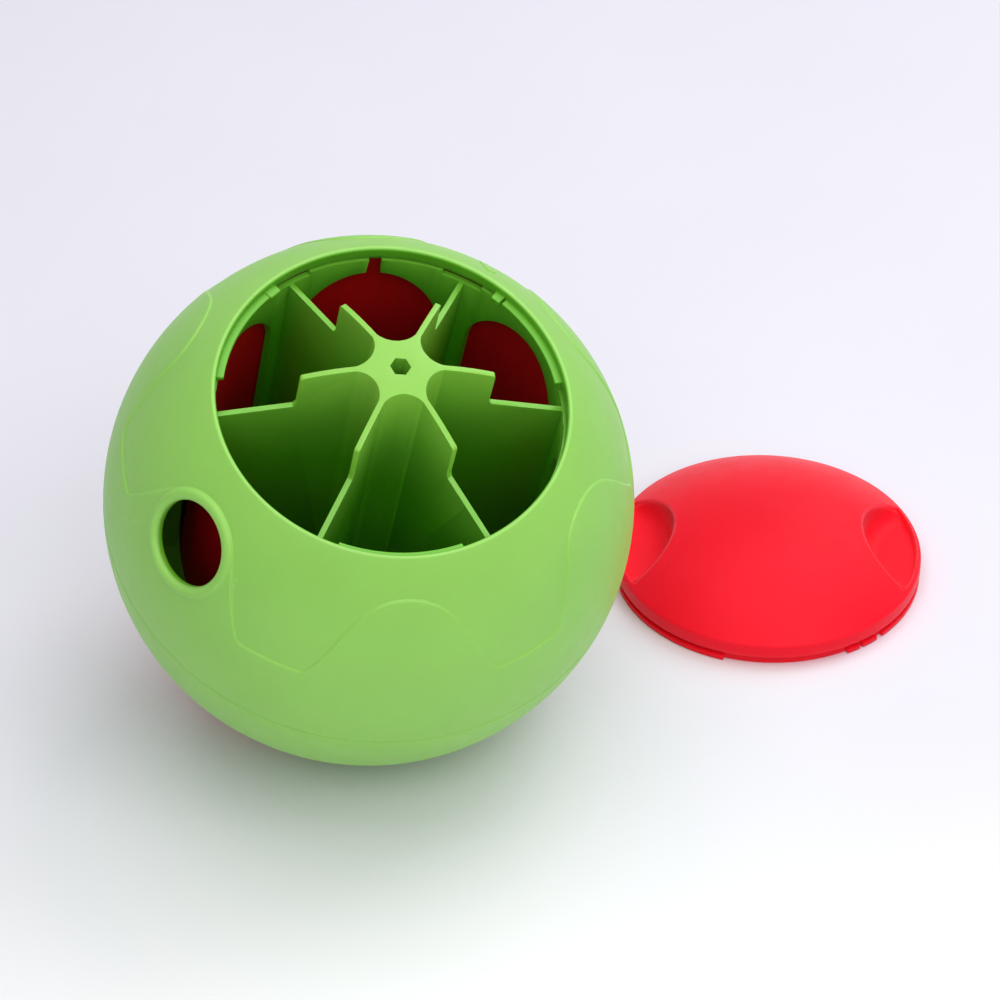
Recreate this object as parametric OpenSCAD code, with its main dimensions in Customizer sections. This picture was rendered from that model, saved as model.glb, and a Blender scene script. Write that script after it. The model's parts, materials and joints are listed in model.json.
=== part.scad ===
// Treat dispensing ball: a hollow two-part shell with a wide mouth, a six-pod wheel that a timed
// gear motor turns inside a drum, a base cap with batteries and a timer dial, and a twist-on lid
// that lies beside the ball. Millimetres. The floor is z = 0 and the ball stands over the origin.
// Most modules are drawn about the ball's centre with Z along the ball's own axis.

/* [Ball] */
// Outside diameter of the ball
ball_d = 150; // [140:1:165]
// Thickness of the shells
wall = 2.6; // [2.2:0.1:3]
// Depth of the joint between the shells, below the ball's centre
joint_drop = 2.2; // [1:0.2:5]
// Depth of the deck that carries the wheel, below the ball's centre
deck_drop = 28.4; // [27:0.2:30]

/* [Pose] */
// Tilt of the ball's axis towards the viewer, degrees
tilt = 22.2; // [0:0.1:30]
// Lean of the ball's axis to the right, degrees
lean = 8.3; // [0:0.1:15]
// Distance of the lid's centre to the right of the ball's
lid_x = 119; // [110:1:160]
// Distance of the lid's centre behind the ball's
lid_y = 62.4; // [50:0.1:90]
// Turn of the lid where it lies, degrees
lid_spin = -2; // [-180:1:180]

/* [Mouth] */
// Diameter of the mouth
mouth_d = 96; // [92:1:98]
// Rounding of the mouth's rim
rim_round = 0.8; // [0.4:0.1:1]
// Thickness of the collar inside the mouth
collar_t = 1.6; // [1.2:0.1:2]
// Thickness of the three ledges that hold the lid
rail_t = 1.4; // [1:0.1:1.6]
// Width of the ledges
rail_w = 2; // [1.6:0.1:3]
// Arc of each ledge, degrees
rail_arc = 42; // [30:1:43]
// Direction of the first ledge, degrees
rail_az = 34; // [0:1:119]

/* [Lid] */
// Thickness of the lid's dome
lid_t = 1.5; // [1.2:0.1:1.8]
// Gap all round the lid in the mouth
lid_gap = 0.4; // [0.3:0.05:0.6]
// Height of the lid's flange
flange_h = 3.5; // [3:0.1:4]
// Thickness of the skirt below the flange
skirt_t = 1.8; // [1.4:0.1:2.2]
// Thickness of the lugs that turn under the ledges
lug_t = 1.5; // [1.2:0.1:1.7]
// Arc of each lug, degrees
lug_arc = 38; // [30:1:44]
// Direction of the first lug from the finger scoops, degrees
lug_az = -6; // [-60:1:60]
// Radius of the two finger scoops
scoop_r = 22; // [14:0.5:24]
// Distance of a scoop's centre from the lid's axis
scoop_at = 50.9; // [46:0.1:52]
// Rounding round the bottom of a scoop
scoop_round = 5; // [3:0.5:6]

/* [Pod wheel] */
// Number of pods
pod_count = 6; // [5:1:6]
// Direction of the first vane, degrees
vane_az = 6; // [0:1:59]
// Thickness of the vanes
vane_t = 1.5; // [1.2:0.1:2]
// Thickness of the wheel's outer wall
wheel_wall = 1.6; // [1.2:0.1:2]
// Reach of the wheel behind the mouth's edge
wheel_tuck = 1.2; // [0.8:0.1:1.4]
// Thickness of the wheel's floor
floor_t = 1.6; // [1.2:0.1:2]
// Distance from the axis to the rounded inner end of a pod
pod_reach = 8.3; // [7.5:0.1:9]
// Distance from the axis to the corner of the star
star_r = 26.4; // [24:0.1:26.6]
// Rounding of the star's corners
star_round = 1.2; // [0.8:0.1:2]
// Width across the flats of the hexagon hole in the hub
hex_w = 5; // [4.6:0.1:5.6]
// Half the width of a pod's arched window
arch_r = 19.8; // [17:0.1:20]
// Height of the window's sill above the pod's floor
sill_h = 3; // [2:0.5:6]
// Width of the index slot above one window
slot_w = 5; // [4:0.1:6]

/* [Drum] */
// Gap between the wheel and the drum
drum_gap = 0.6; // [0.4:0.1:0.8]
// Thickness of the drum's wall
drum_t = 1.8; // [1.4:0.1:2.2]
// Thickness of the drum's deck
deck_t = 2; // [1.6:0.1:2.4]
// Half the width of the drum's one window
gate_r = 16; // [13:0.5:18]
// Thickness of the ring that floors the space round the drum
ring_t = 1.6; // [1.2:0.1:2]

/* [Exit hole] */
// Diameter of the exit hole
exit_d = 22.4; // [18:0.2:24]
// Direction of the exit hole, degrees
exit_az = -144; // [-180:1:180]
// Height of the exit hole above the ball's equator, degrees
exit_lat = 29; // [26:0.5:30]
// Width of the raised collar round the hole
exit_ring_w = 4.2; // [3:0.1:4.4]
// Height of the raised collar
exit_ring_h = 0.8; // [0.5:0.1:1.2]

/* [Wave step] */
// Depth of the step along the wave line
wave_step = 0.45; // [0.3:0.05:0.6]
// Height of the wave's crests above the equator, degrees
crest_lat = 39.9; // [37:0.1:42]
// Height of the wave's troughs, degrees
trough_lat = 18.3; // [10:0.1:22]

/* [Base cap] */
// Diameter of the base cap
cap_d = 91.4; // [90:0.2:93]
// Gap round the base cap, the door and the dial
panel_gap = 0.3; // [0.2:0.05:0.4]
// Thickness of the base cap
cap_t = 2.4; // [2:0.1:2.6]
// Thickness of the seal between cap and shell
seal_t = 0.4; // [0.3:0.05:0.5]
// Direction of the battery side, degrees
pack_az = 30; // [0:1:60]
// Diameter of the timer dial
dial_d = 24.8; // [22:0.2:26]
// Distance of the timer dial from the ball's axis
dial_at = 24; // [22:0.5:25]

/* [Battery] */
// Diameter of a battery cell
cell_d = 14.2; // [13.8:0.1:14.5]
// Length of a battery cell
cell_l = 49.2; // [48:0.1:50]
// Wall of the battery box
box_t = 1.2; // [1:0.1:1.4]

/* [Drive] */
// Tooth size of the first stage: pitch diameter over teeth
fine_module = 0.6; // [0.58:0.01:0.62]
// Tooth size of the two later stages
coarse_module = 0.8; // [0.78:0.01:0.82]
// Diameter of the gear pins
pin_d = 3; // [2.5:0.1:3.2]
// Diameter of the motor
motor_d = 18; // [16:0.5:19]
// Length of the motor
motor_l = 16; // [14:0.5:16.5]

/* [Hidden] */
$fn = 96;

green = [0.47, 0.75, 0.25];
red = [0.86, 0.1, 0.13];
steel = [0.72, 0.73, 0.75];
brass = [0.8, 0.66, 0.32];
nylon = [0.93, 0.92, 0.87];
dark = [0.16, 0.16, 0.17];

// Cuts run past what they cut by this much
overrun = 1;
// Least gap between faces that move past each other
play = 0.2;
// Gap round a screw's thread and a pressed pin
thread_gap = 0.05;
// Radial gap of a shaft in its bush
run_gap = 0.05;
// Gap between faces of fixed pieces that follow the same sphere
seat_gap = 0.1;

ball_r = ball_d / 2;
inner_r = ball_r - wall;
// Radius of the sunken surface above the wave line, which the lid continues
crown_r = ball_r - wave_step;
joint_z = -joint_drop;
pod_step = 360 / pod_count;

// Height above the centre of a sphere's surface at a distance from the axis
function rise(sphere_r, r) = sqrt(sphere_r * sphere_r - r * r);

// Mouth, ledges and lid, from the rim down
mouth_r = mouth_d / 2;
rim_z = rise(crown_r, mouth_r);
rail_top = rim_z - flange_h;
rail_bottom = rail_top - rail_t;
lug_top = rail_bottom - play / 2;
lug_bottom = lug_top - lug_t;
skirt_bottom = lug_bottom - play;
rail_count = 3;
lid_r = mouth_r - lid_gap;
rail_r = mouth_r - rail_w;
skirt_r = rail_r - lid_gap;
lug_r = mouth_r - 2.5 * lid_gap;
flange_in = skirt_r - skirt_t / 2;
scoop_floor = rim_z - lid_gap;
// The small teeth between the lugs: distance from a lug's centre and arc, degrees
teeth = [[67, 6], [80, 4]];

// Pod wheel, from the star's top down
wheel_r = mouth_r + wheel_tuck;
wheel_in = wheel_r - wheel_wall;
star_gap = 0.3;
star_top_r = crown_r - lid_t - star_gap;
crown_gap = 0.9;
wheel_top = rail_bottom - crown_gap;
// Drop of the wheel's wall beside each vane
wall_step = 1.7;
wall_step_w = 12;
// Drop of a vane's outer end below the lid's lugs, and its rise towards the star
vane_drop = 1.7;
vane_rise = 4.9;
vane_end_z = lug_bottom - vane_drop;
notch_r = star_r + vane_t / 2;
deck_z = -deck_drop;
bush_flange_t = 0.6;
floor_bottom = deck_z + bush_flange_t + play;
floor_z = floor_bottom + floor_t;
// The circle that rounds a pod's inner end runs into both of its vanes
pod_blend_share = 0.4;
pod_end_at = (pod_reach - vane_t * pod_blend_share) / (1 - sin(180 / pod_count));
pod_end_r = pod_end_at - pod_reach;
hub_r = pod_end_at * cos(180 / pod_count);
arch_top_share = 0.88;
arch_z = wheel_top * arch_top_share - arch_r;
slot_pod = 1;
slot_taper_share = 0.7;

// Drum, its deck and the ring round it
drum_in = wheel_r + drum_gap;
drum_r = drum_in + drum_t;
drum_head_gap = 1.4;
drum_top = rise(inner_r, drum_r) - drum_head_gap;
deck_bottom = deck_z - deck_t;
deck_r = rise(inner_r, deck_bottom) - 3 * drum_gap;
post_r = 4;
post_at = deck_r - post_r;
gate_az = exit_az + pod_step;
ring_top = deck_z + ring_t;
ring_r = rise(inner_r, deck_z) - drum_gap;

// Exit hole and the rib that steers treats to it
exit_r = exit_d / 2;
exit_ring_r = exit_ring_w / 2;
exit_ring_share = 0.8;
exit_ring_at = exit_r + exit_ring_r * exit_ring_share;
exit_ring_z = rise(ball_r, exit_ring_at) + exit_ring_h - exit_ring_r;
rib_az = exit_az - 32;
rib_t = 1.6;
rib_top_share = 0.4;

// Wave line: share of half a period from the crest, and share of the wave's rise
wave_shares = [[0, 1], [0.14, 0.98], [0.27, 0.915], [0.37, 0.82], [0.45, 0.68], [0.52, 0.52],
    [0.59, 0.34], [0.66, 0.165], [0.73, 0.05], [0.81, 0.01], [0.93, 0]];

// Seam groove and lap between the shells
groove_w = 0.7;
lap_h = 4;
lap_t = 1.4;

// Base cap, its ledge and its screws
cap_r = cap_d / 2;
cap_hole_r = cap_r + panel_gap;
cap_in = ball_r - cap_t;
ledge_out = cap_in - seal_t;
ledge_t = 2;
ledge_in = ledge_out - ledge_t;
ledge_w = 4.5;
ledge_r = cap_r - ledge_w;
seal_w = 3;
base_screw_at = cap_r - 4;
base_screw_az = [66, 150, 210, 294];
boss_r = 3.4;
boss_h = 1.2;
post_h = 4.5;

// Screws: thread radius, head radius, head height and how far they bite
screw_r = 1.25;
head_r = 2.5;
head_h = 1.4;
bite = 4;

// Timer dial and its switch, along the sphere's own radius
dial_r = dial_d / 2;
dial_tilt = asin(dial_at / ball_r);
dial_sunk = 0.3;
dial_t = 2.2;
dial_out = ball_r - dial_sunk;
dial_in = dial_out - dial_t;
cup_t = 1.4;
cup_out = dial_in - panel_gap;
cup_in = cup_out - cup_t;
stem_r = 3;
grip_w = 4;
grip_depth = 1.3;
switch_r = 8;
switch_h = 7;

// Battery box and cells, beside the plane through the axis
cell_r = cell_d / 2;
cell_gap = 0.4;
cell_pitch = cell_d + cell_gap;
contact_t = 0.5;
contact_room = 1.1;
box_in_l = cell_l + 2 * contact_room + cell_gap;
box_in_w = 2 * cell_pitch + cell_gap;
box_flange_w = 2;
box_u = -box_t;
box_w = box_in_w + 2 * box_t;
box_l = box_in_l + 2 * box_t;
box_round_r = ledge_r - 2 * seat_gap;
door_screw_at = 34.2;
door_tab_r = 4;
nub_r = 2.75;
nub_h = 1;

// Gear train below the deck: teeth, tooth width and places in the plane of the gears
teeth_out = 48;
teeth_small = 12;
teeth_upper = 30;
teeth_lower = 36;
gear_w = 3.2;
gear_gap = 0.5;
bush_drop = 1.2;
deck_boss_bottom = deck_bottom - bush_drop;
out_top = deck_boss_bottom - 2 * play;
upper_top = out_top - gear_w - gear_gap;
lower_top = upper_top - gear_w - gear_gap;
case_floor = lower_top - gear_w + gear_gap;
case_t = 1.4;
case_bottom = case_floor - case_t;
case_wall = 1.6;
cell_z = case_bottom - 2 * play - box_t - cell_gap - cell_r;
case_room = 0.8;
tooth_head_share = 0.8;
tooth_foot_share = 1.25;
tooth_width_shares = [0.30, 0.22, 0.11];
out_r = teeth_out * coarse_module / 2;
upper_big_r = teeth_upper * coarse_module / 2;
coarse_small_r = teeth_small * coarse_module / 2;
lower_big_r = teeth_lower * fine_module / 2;
pinion_r = teeth_small * fine_module / 2;
upper_dir = 60;
lower_dir = 138;
pinion_dir = 200;
upper_at = (out_r + coarse_small_r) * [cos(upper_dir), sin(upper_dir)];
lower_at = upper_at + (upper_big_r + coarse_small_r) * [cos(lower_dir), sin(lower_dir)];
motor_at = lower_at + (lower_big_r + pinion_r) * [cos(pinion_dir), sin(pinion_dir)];
// Turn of each toothing that brings a gap where its partner has a tooth
function mesh_turn(teeth_a, turn_a, teeth_b, dir) =
    dir + 180 + 180 / teeth_b + (dir - turn_a) * teeth_a / teeth_b;
upper_small_turn = mesh_turn(teeth_out, 0, teeth_small, upper_dir);
lower_small_turn = mesh_turn(teeth_upper, 0, teeth_small, lower_dir);
pinion_turn = mesh_turn(teeth_lower, 0, teeth_small, pinion_dir);
pin_r = pin_d / 2;
sleeve_t = 1.5;
sleeve_r = pin_r + sleeve_t;
shaft_r = hex_w / 2 + 4 * play;
bush_t = 2;
bush_flange_r = shaft_r + 2 * bush_t;
hex_gap = 0.1;
shaft_top = star_top_r / 2;
tip_r = hex_w / 2 - 2 * play;
hub_boss_r = shaft_r + bush_t;
case_ear_r = 3.6;
ear_screw_l = 5.4;
case_ears = [[-21.8, -12.6], [0, -25.1], [21.8, -12.6], [-0.5, 48.5]];
motor_r = motor_d / 2;
motor_shaft_r = 1;
motor_boss_r = 3;
motor_boss_h = 1;
motor_screw_at = 6.3;
motor_screw_r = 0.8;
bell_h = 2.5;

// Circuit board and what is on it
board_w = 22;
board_l = 16;
board_t = 1.6;
board_at = [-14.5, -24];
board_top = case_bottom - 8;
board_post_r = 2.4;
board_posts = [[-8.5, 0], [8.5, 5.5], [8.5, -5.5]];
buzzer_r = 5;
buzzer_h = 4;
buzzer_at = [1.5, 0];
chip_at = [-10, 3.2];
chip_size = [5, 3.6, 1.5];
can_at = [-6.5, -5.6];
can_r = 1.8;
can_h = 5;
resistors_at = [[-4, 5.4], [-1.4, 5.4], [1.2, 5.4]];
resistor_size = [1.6, 2.2, 0.6];

// The ball's own frame in its resting place
module ball_frame() {
    translate([0, 0, ball_r]) rotate([tilt, 0, 0]) rotate([0, lean, 0]) children();
}

// The frame of the drive and the base: its first axis points to the battery side
module pack_frame() {
    ball_frame() rotate([0, 0, pack_az]) children();
}

// Z along the sphere's outward radius on the underside, at a distance from the axis
module on_underside(at, az) {
    rotate([0, 180 - asin(at / ball_r), az]) children();
}

// A ring between two radii
module tube(r_out, r_in, h) {
    difference() {
        cylinder(r = r_out, h = h);
        translate([0, 0, -overrun]) cylinder(r = r_in, h = h + 2 * overrun);
    }
}

// A sector of a circle, for cutting arcs, about its first axis
module sector(r, arc) {
    polygon([[0, 0], for (i = [-4:4]) 2 * r * [cos(arc * i / 8), sin(arc * i / 8)]]);
}

// A piece of a ring that covers an arc
module arc_ring(r_out, r_in, h, arc) {
    intersection() {
        tube(r_out, r_in, h);
        translate([0, 0, -overrun]) linear_extrude(h + 2 * overrun) sector(r_out, arc);
    }
}

module screw(length) {
    cylinder(r = screw_r, h = length);
    difference() {
        translate([0, 0, length]) cylinder(r = head_r, h = head_h);
        for (turn = [0, 90]) rotate([0, 0, turn])
            translate([-head_r * 0.6, -screw_r / 4, length + head_h / 2])
                cube([head_r * 1.2, screw_r / 2, head_h]);
    }
}

// The region above the wave line, as a prism about the ball's axis
module wave_prism() {
    last = len(wave_shares) - 1;
    period = [for (i = [last:-1:1]) [-wave_shares[i][0], wave_shares[i][1]], each wave_shares];
    points = [for (k = [0:pod_count - 1], s = period)
        let (lat = trough_lat + (crest_lat - trough_lat) * s[1],
            az = exit_az + (k + s[0] / 2) * pod_step)
        ball_r * cos(lat) * [cos(az), sin(az)]];
    linear_extrude(ball_r + overrun) polygon(points);
}

// What is cut away to round the rim between the mouth's wall and the sphere
module rim_cutter() {
    mid_r = mouth_r + rim_round;
    mid_z = rise(crown_r - rim_round, mid_r);
    reach = (crown_r + overrun) / (crown_r - rim_round);
    rotate_extrude() difference() {
        polygon([[mouth_r - overrun, mid_z], [mid_r, mid_z], reach * [mid_r, mid_z],
            [reach * mid_r, ball_r], [mouth_r - overrun, ball_r]]);
        translate([mid_r, mid_z]) circle(rim_round);
    }
}

// The rib that steers treats to the exit hole, between two heights
module guide_rib(low, high) {
    intersection() {
        rotate([0, 0, rib_az]) translate([drum_r + drum_head_gap, -rib_t / 2, low])
            cube([ball_r, rib_t, high - low]);
        sphere(inner_r + wall / 2);
    }
}

module seam_groove() {
    translate([0, 0, joint_z]) rotate_extrude()
        polygon([[ball_r - groove_w / 2, 0], [ball_r + groove_w, -1.5 * groove_w],
            [ball_r + groove_w, 1.5 * groove_w]]);
}

module exit_frame() {
    rotate([0, 90 - exit_lat, exit_az]) children();
}

module upper_shell() {
    color(green) ball_frame() difference() {
        union() {
            difference() {
                union() {
                    sphere(crown_r);
                    difference() {
                        sphere(ball_r);
                        wave_prism();
                    }
                    exit_frame() translate([0, 0, exit_ring_z])
                        rotate_extrude() translate([exit_ring_at, 0]) circle(exit_ring_r);
                }
                sphere(inner_r);
                translate([0, 0, rim_z / 2]) cylinder(r = mouth_r, h = ball_r);
                rim_cutter();
            }
            intersection() {
                translate([0, 0, rail_bottom])
                    tube(mouth_r + collar_t, mouth_r, rim_z - rail_bottom);
                sphere(inner_r + wall / 2);
            }
            for (k = [0:rail_count - 1]) rotate([0, 0, rail_az + k * 360 / rail_count])
                translate([0, 0, rail_bottom])
                    arc_ring(mouth_r + collar_t / 2, rail_r, rail_t, rail_arc);
            guide_rib(joint_z, inner_r * rib_top_share);
        }
        exit_frame() translate([0, 0, inner_r / 2]) cylinder(r = exit_r, h = ball_r);
        translate([0, 0, joint_z - 2 * ball_r])
            cylinder(r = 2 * ball_r, h = 2 * ball_r);
        seam_groove();
    }
}

module lower_shell() {
    color(green) ball_frame() {
        difference() {
            union() {
                difference() {
                    sphere(ball_r);
                    sphere(inner_r);
                    translate([0, 0, joint_z]) cylinder(r = 2 * ball_r, h = 2 * ball_r);
                    translate([0, 0, -ball_r - overrun]) cylinder(r = cap_hole_r, h = ball_r);
                    seam_groove();
                }
                intersection() {
                    difference() {
                        sphere(ledge_out);
                        sphere(ledge_in);
                    }
                    translate([0, 0, -ball_r]) tube(cap_hole_r + ledge_t, ledge_r, ball_r / 2);
                }
                intersection() {
                    difference() {
                        sphere(inner_r + wall / 2);
                        sphere(ledge_in);
                    }
                    translate([0, 0, -ball_r]) tube(cap_hole_r + 2 * ledge_t, cap_hole_r, ball_r / 2);
                }
                difference() {
                    intersection() {
                        translate([0, 0, joint_z - lap_h])
                            cylinder(r = ball_r, h = 2 * lap_h);
                        sphere(inner_r - seat_gap);
                    }
                    translate([0, 0, joint_z - lap_h - overrun])
                        cylinder(r = inner_r - lap_t, h = 2 * lap_h + 2 * overrun);
                    rotate([0, 0, rib_az]) translate([drum_r, -rib_t / 2 - play, joint_z])
                        cube([ball_r, rib_t + 2 * play, 2 * lap_h]);
                }
                intersection() {
                    translate([0, 0, joint_z - lap_h])
                        tube(ball_r, inner_r - lap_t, lap_h);
                    sphere(inner_r + wall / 2);
                }
                guide_rib(ring_top, joint_z);
                intersection() {
                    for (turn = [45:90:315]) rotate([0, 0, turn]) translate([post_at, 0, -ball_r])
                        cylinder(r = post_r, h = ball_r + deck_bottom);
                    sphere(inner_r + wall / 2);
                }
                rotate([0, 0, pack_az]) for (az = base_screw_az) on_underside(base_screw_at, az)
                    translate([0, 0, ledge_out - post_h]) cylinder(r = boss_r, h = post_h - boss_h);
            }
            for (turn = [45:90:315]) rotate([0, 0, turn])
                translate([post_at, 0, deck_bottom - bite]) {
                    cylinder(r = screw_r + thread_gap, h = bite + overrun);
                }
            rotate([0, 0, pack_az]) for (az = base_screw_az) on_underside(base_screw_at, az)
                translate([0, 0, ledge_out - post_h - overrun])
                    cylinder(r = screw_r + thread_gap, h = post_h + 2 * overrun);
        }
    }
}

module tumble_floor() {
    color(green) ball_frame() difference() {
        translate([0, 0, deck_z]) tube(ring_r, drum_r + seat_gap, ring_t);
        for (turn = [45:90:315]) rotate([0, 0, turn]) translate([post_at, 0, deck_z - overrun])
            cylinder(r = screw_r + play, h = ring_t + 2 * overrun);
    }
}

// A pod window's outline: an arch on two straight sides
module arch(r, spring_z, sill_z) {
    translate([0, spring_z]) circle(r);
    translate([-r, sill_z]) square([2 * r, spring_z - sill_z]);
}

// A flat outline set across a radius and extruded outwards between two distances
module across(from, to) {
    translate([from, 0, 0]) rotate([90, 0, 90]) linear_extrude(to - from) children();
}

module drum() {
    color(red) ball_frame() difference() {
        union() {
            translate([0, 0, deck_bottom]) cylinder(r = deck_r, h = deck_t);
            translate([0, 0, deck_z]) tube(drum_r, drum_in, drum_top - deck_z);
            translate([0, 0, deck_boss_bottom])
                cylinder(r = hub_boss_r + bush_t, h = bush_drop + deck_t);
        }
        rotate([0, 0, gate_az]) across(drum_in / 2, ball_r)
            arch(gate_r, arch_z, floor_z + 2 * sill_h);
        translate([0, 0, deck_boss_bottom - overrun])
            cylinder(r = hub_boss_r + run_gap, h = ball_r);
        for (turn = [45:90:315]) rotate([0, 0, turn]) translate([post_at, 0, deck_bottom - overrun])
            cylinder(r = screw_r + play, h = deck_t + 2 * overrun);
        rotate([0, 0, pack_az]) {
            for (at = [upper_at, lower_at]) translate([at[0], at[1], deck_bottom - overrun])
                cylinder(r = pin_r + thread_gap, h = overrun + deck_t / 2);
            for (ear = case_ears) translate([ear[0], ear[1], deck_bottom - overrun])
                cylinder(r = screw_r + thread_gap, h = overrun + deck_t * 0.8);
        }
    }
}

// The hub and the vanes in plan
module star_plan() {
    difference() {
        circle(hub_r);
        for (k = [0:pod_count - 1]) rotate(vane_az + (k + 0.5) * pod_step)
            translate([pod_end_at, 0]) circle(pod_end_r);
    }
    for (k = [0:pod_count - 1]) rotate(vane_az + k * pod_step)
        translate([0, -vane_t / 2]) square([wheel_in + wheel_wall / 2, vane_t]);
}

// The side view of a vane, from the axis to the wheel's wall
module vane_profile() {
    corner_z = rise(star_top_r - star_round, star_r - star_round);
    notch_z = vane_end_z + vane_rise;
    difference() {
        intersection() {
            translate([0, floor_z - floor_t / 2])
                square([wheel_in + wheel_wall / 2, ball_r - floor_z]);
            circle(star_top_r);
            union() {
                translate([0, floor_z - floor_t]) square([star_r, ball_r + ball_r]);
                polygon([[0, floor_z - floor_t], [wheel_r, floor_z - floor_t],
                    [wheel_r, vane_end_z], [notch_r, notch_z], [star_r, notch_z + vane_t]]);
            }
        }
        difference() {
            polygon([[star_r - star_round, corner_z],
                (ball_r / (star_top_r - star_round)) * [star_r - star_round, corner_z],
                [star_r + overrun, ball_r], [star_r + overrun, corner_z]]);
            translate([star_r - star_round, corner_z]) circle(star_round);
        }
    }
}

module pod_wheel() {
    color(green) ball_frame() difference() {
        union() {
            translate([0, 0, floor_bottom]) cylinder(r = wheel_r, h = floor_t);
            translate([0, 0, floor_bottom]) tube(wheel_r, wheel_in, wheel_top - floor_bottom);
            intersection() {
                rotate_extrude() vane_profile();
                translate([0, 0, floor_bottom]) linear_extrude(ball_r - floor_bottom) star_plan();
            }
        }
        for (k = [0:pod_count - 1]) rotate([0, 0, vane_az + (k + 0.5) * pod_step])
            across(wheel_in * cos(pod_step / 2), ball_r) arch(arch_r, arch_z, floor_z + sill_h);
        for (k = [0:pod_count - 1]) rotate([0, 0, vane_az + k * pod_step])
            translate([wheel_in - wheel_wall / 2, -wall_step_w / 2, wheel_top - wall_step])
                cube([ball_r, wall_step_w, ball_r]);
        rotate([0, 0, vane_az + (slot_pod + 0.5) * pod_step]) across(wheel_in / 2, ball_r)
            polygon([[-slot_w / 2, arch_z + arch_r / 2], [slot_w / 2, arch_z + arch_r / 2],
                [slot_w * slot_taper_share / 2, wheel_top + overrun],
                [-slot_w * slot_taper_share / 2, wheel_top + overrun]]);
        translate([0, 0, floor_bottom - overrun])
            cylinder(d = hex_w / cos(30), h = ball_r - floor_bottom + overrun, $fn = 6);
    }
}

module drive_shaft() {
    hex_out = (hex_w - 2 * hex_gap) / cos(30);
    color(steel) pack_frame() {
        rotate([0, 0, -pack_az]) translate([0, 0, upper_top])
            cylinder(d = hex_out, h = shaft_top - upper_top, $fn = 6);
        translate([0, 0, deck_boss_bottom - play])
            cylinder(r = shaft_r, h = deck_z + bush_flange_t - deck_boss_bottom + play);
        translate([0, 0, case_floor + play]) cylinder(r = tip_r, h = upper_top - case_floor);
    }
}

module shaft_bush() {
    color(brass) pack_frame() difference() {
        union() {
            translate([0, 0, deck_boss_bottom]) cylinder(r = hub_boss_r, h = deck_z - deck_boss_bottom);
            translate([0, 0, deck_z]) cylinder(r = bush_flange_r, h = bush_flange_t);
        }
        translate([0, 0, deck_boss_bottom - overrun])
            cylinder(r = shaft_r + run_gap, h = deck_z - deck_boss_bottom + 2 * overrun);
    }
}

// The outline of a spur gear with straight-sided teeth
module gear_outline(teeth, unit, turn) {
    pitch_r = teeth * unit / 2;
    radii = [pitch_r - tooth_foot_share * unit, pitch_r, pitch_r + tooth_head_share * unit];
    step = 360 / teeth;
    sides = [[0, -1], [1, -1], [2, -1], [2, 1], [1, 1], [0, 1]];
    rotate(turn) polygon([for (k = [0:teeth - 1], s = sides)
        let (az = (k + s[1] * tooth_width_shares[s[0]]) * step) radii[s[0]] * [cos(az), sin(az)]]);
}

module output_gear() {
    color(nylon) pack_frame() difference() {
        union() {
            translate([0, 0, out_top - gear_w]) linear_extrude(gear_w)
                gear_outline(teeth_out, coarse_module, 0);
            translate([0, 0, upper_top]) cylinder(r = shaft_r + 2 * bush_t, h = gear_w + gear_gap);
        }
        rotate([0, 0, -pack_az]) translate([0, 0, upper_top - overrun])
            cylinder(d = hex_w / cos(30), h = 2 * gear_w, $fn = 6);
    }
}

module idler_gear_upper() {
    color(nylon) pack_frame() translate([upper_at[0], upper_at[1], 0]) difference() {
        union() {
            translate([0, 0, upper_top - gear_w]) linear_extrude(gear_w)
                gear_outline(teeth_upper, coarse_module, 0);
            translate([0, 0, upper_top]) linear_extrude(gear_w + gear_gap)
                gear_outline(teeth_small, coarse_module, upper_small_turn);
            translate([0, 0, case_floor + play])
                cylinder(r = sleeve_r, h = deck_bottom - case_floor - 2 * play);
        }
        translate([0, 0, case_floor]) cylinder(r = pin_r + run_gap, h = deck_bottom - case_floor);
    }
}

module idler_gear_lower() {
    color(nylon) pack_frame() translate([lower_at[0], lower_at[1], 0]) difference() {
        union() {
            translate([0, 0, case_floor + 2 * play]) linear_extrude(lower_top - case_floor - 2 * play)
                gear_outline(teeth_lower, fine_module, 0);
            translate([0, 0, lower_top]) linear_extrude(gear_w + gear_gap)
                gear_outline(teeth_small, coarse_module, lower_small_turn);
            translate([0, 0, case_floor + play])
                cylinder(r = sleeve_r, h = deck_bottom - case_floor - 2 * play);
        }
        translate([0, 0, case_floor]) cylinder(r = pin_r + run_gap, h = deck_bottom - case_floor);
    }
}

module gear_pins() {
    color(steel) pack_frame() for (at = [upper_at, lower_at]) translate([at[0], at[1], case_bottom])
        cylinder(r = pin_r, h = deck_bottom + deck_t / 2 - case_bottom - play);
}

module motor_pinion() {
    color(brass) pack_frame() translate([motor_at[0], motor_at[1], case_floor + 2 * play])
        difference() {
            linear_extrude(gear_w) gear_outline(teeth_small, fine_module, pinion_turn);
            translate([0, 0, -overrun]) cylinder(r = motor_shaft_r, h = gear_w + 2 * overrun);
        }
}

module motor_shaft() {
    color(steel) pack_frame()
        translate([motor_at[0], motor_at[1], case_bottom - motor_l + bell_h + play])
            cylinder(r = motor_shaft_r, h = motor_l - bell_h + case_t + gear_w + play);
}

module motor_can() {
    color(steel) pack_frame() translate([motor_at[0], motor_at[1], case_bottom]) difference() {
        union() {
            translate([0, 0, bell_h - motor_l]) cylinder(r = motor_r, h = motor_l - bell_h);
            cylinder(r = motor_boss_r, h = motor_boss_h);
        }
        translate([0, 0, -motor_l])
            cylinder(r = motor_shaft_r + run_gap, h = motor_l + motor_boss_h + overrun);
        for (side = [-1, 1]) rotate([0, 0, pinion_dir + side * 90])
            translate([motor_screw_at, 0, -bite])
                cylinder(r = motor_screw_r + thread_gap, h = bite + overrun);
    }
}

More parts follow.
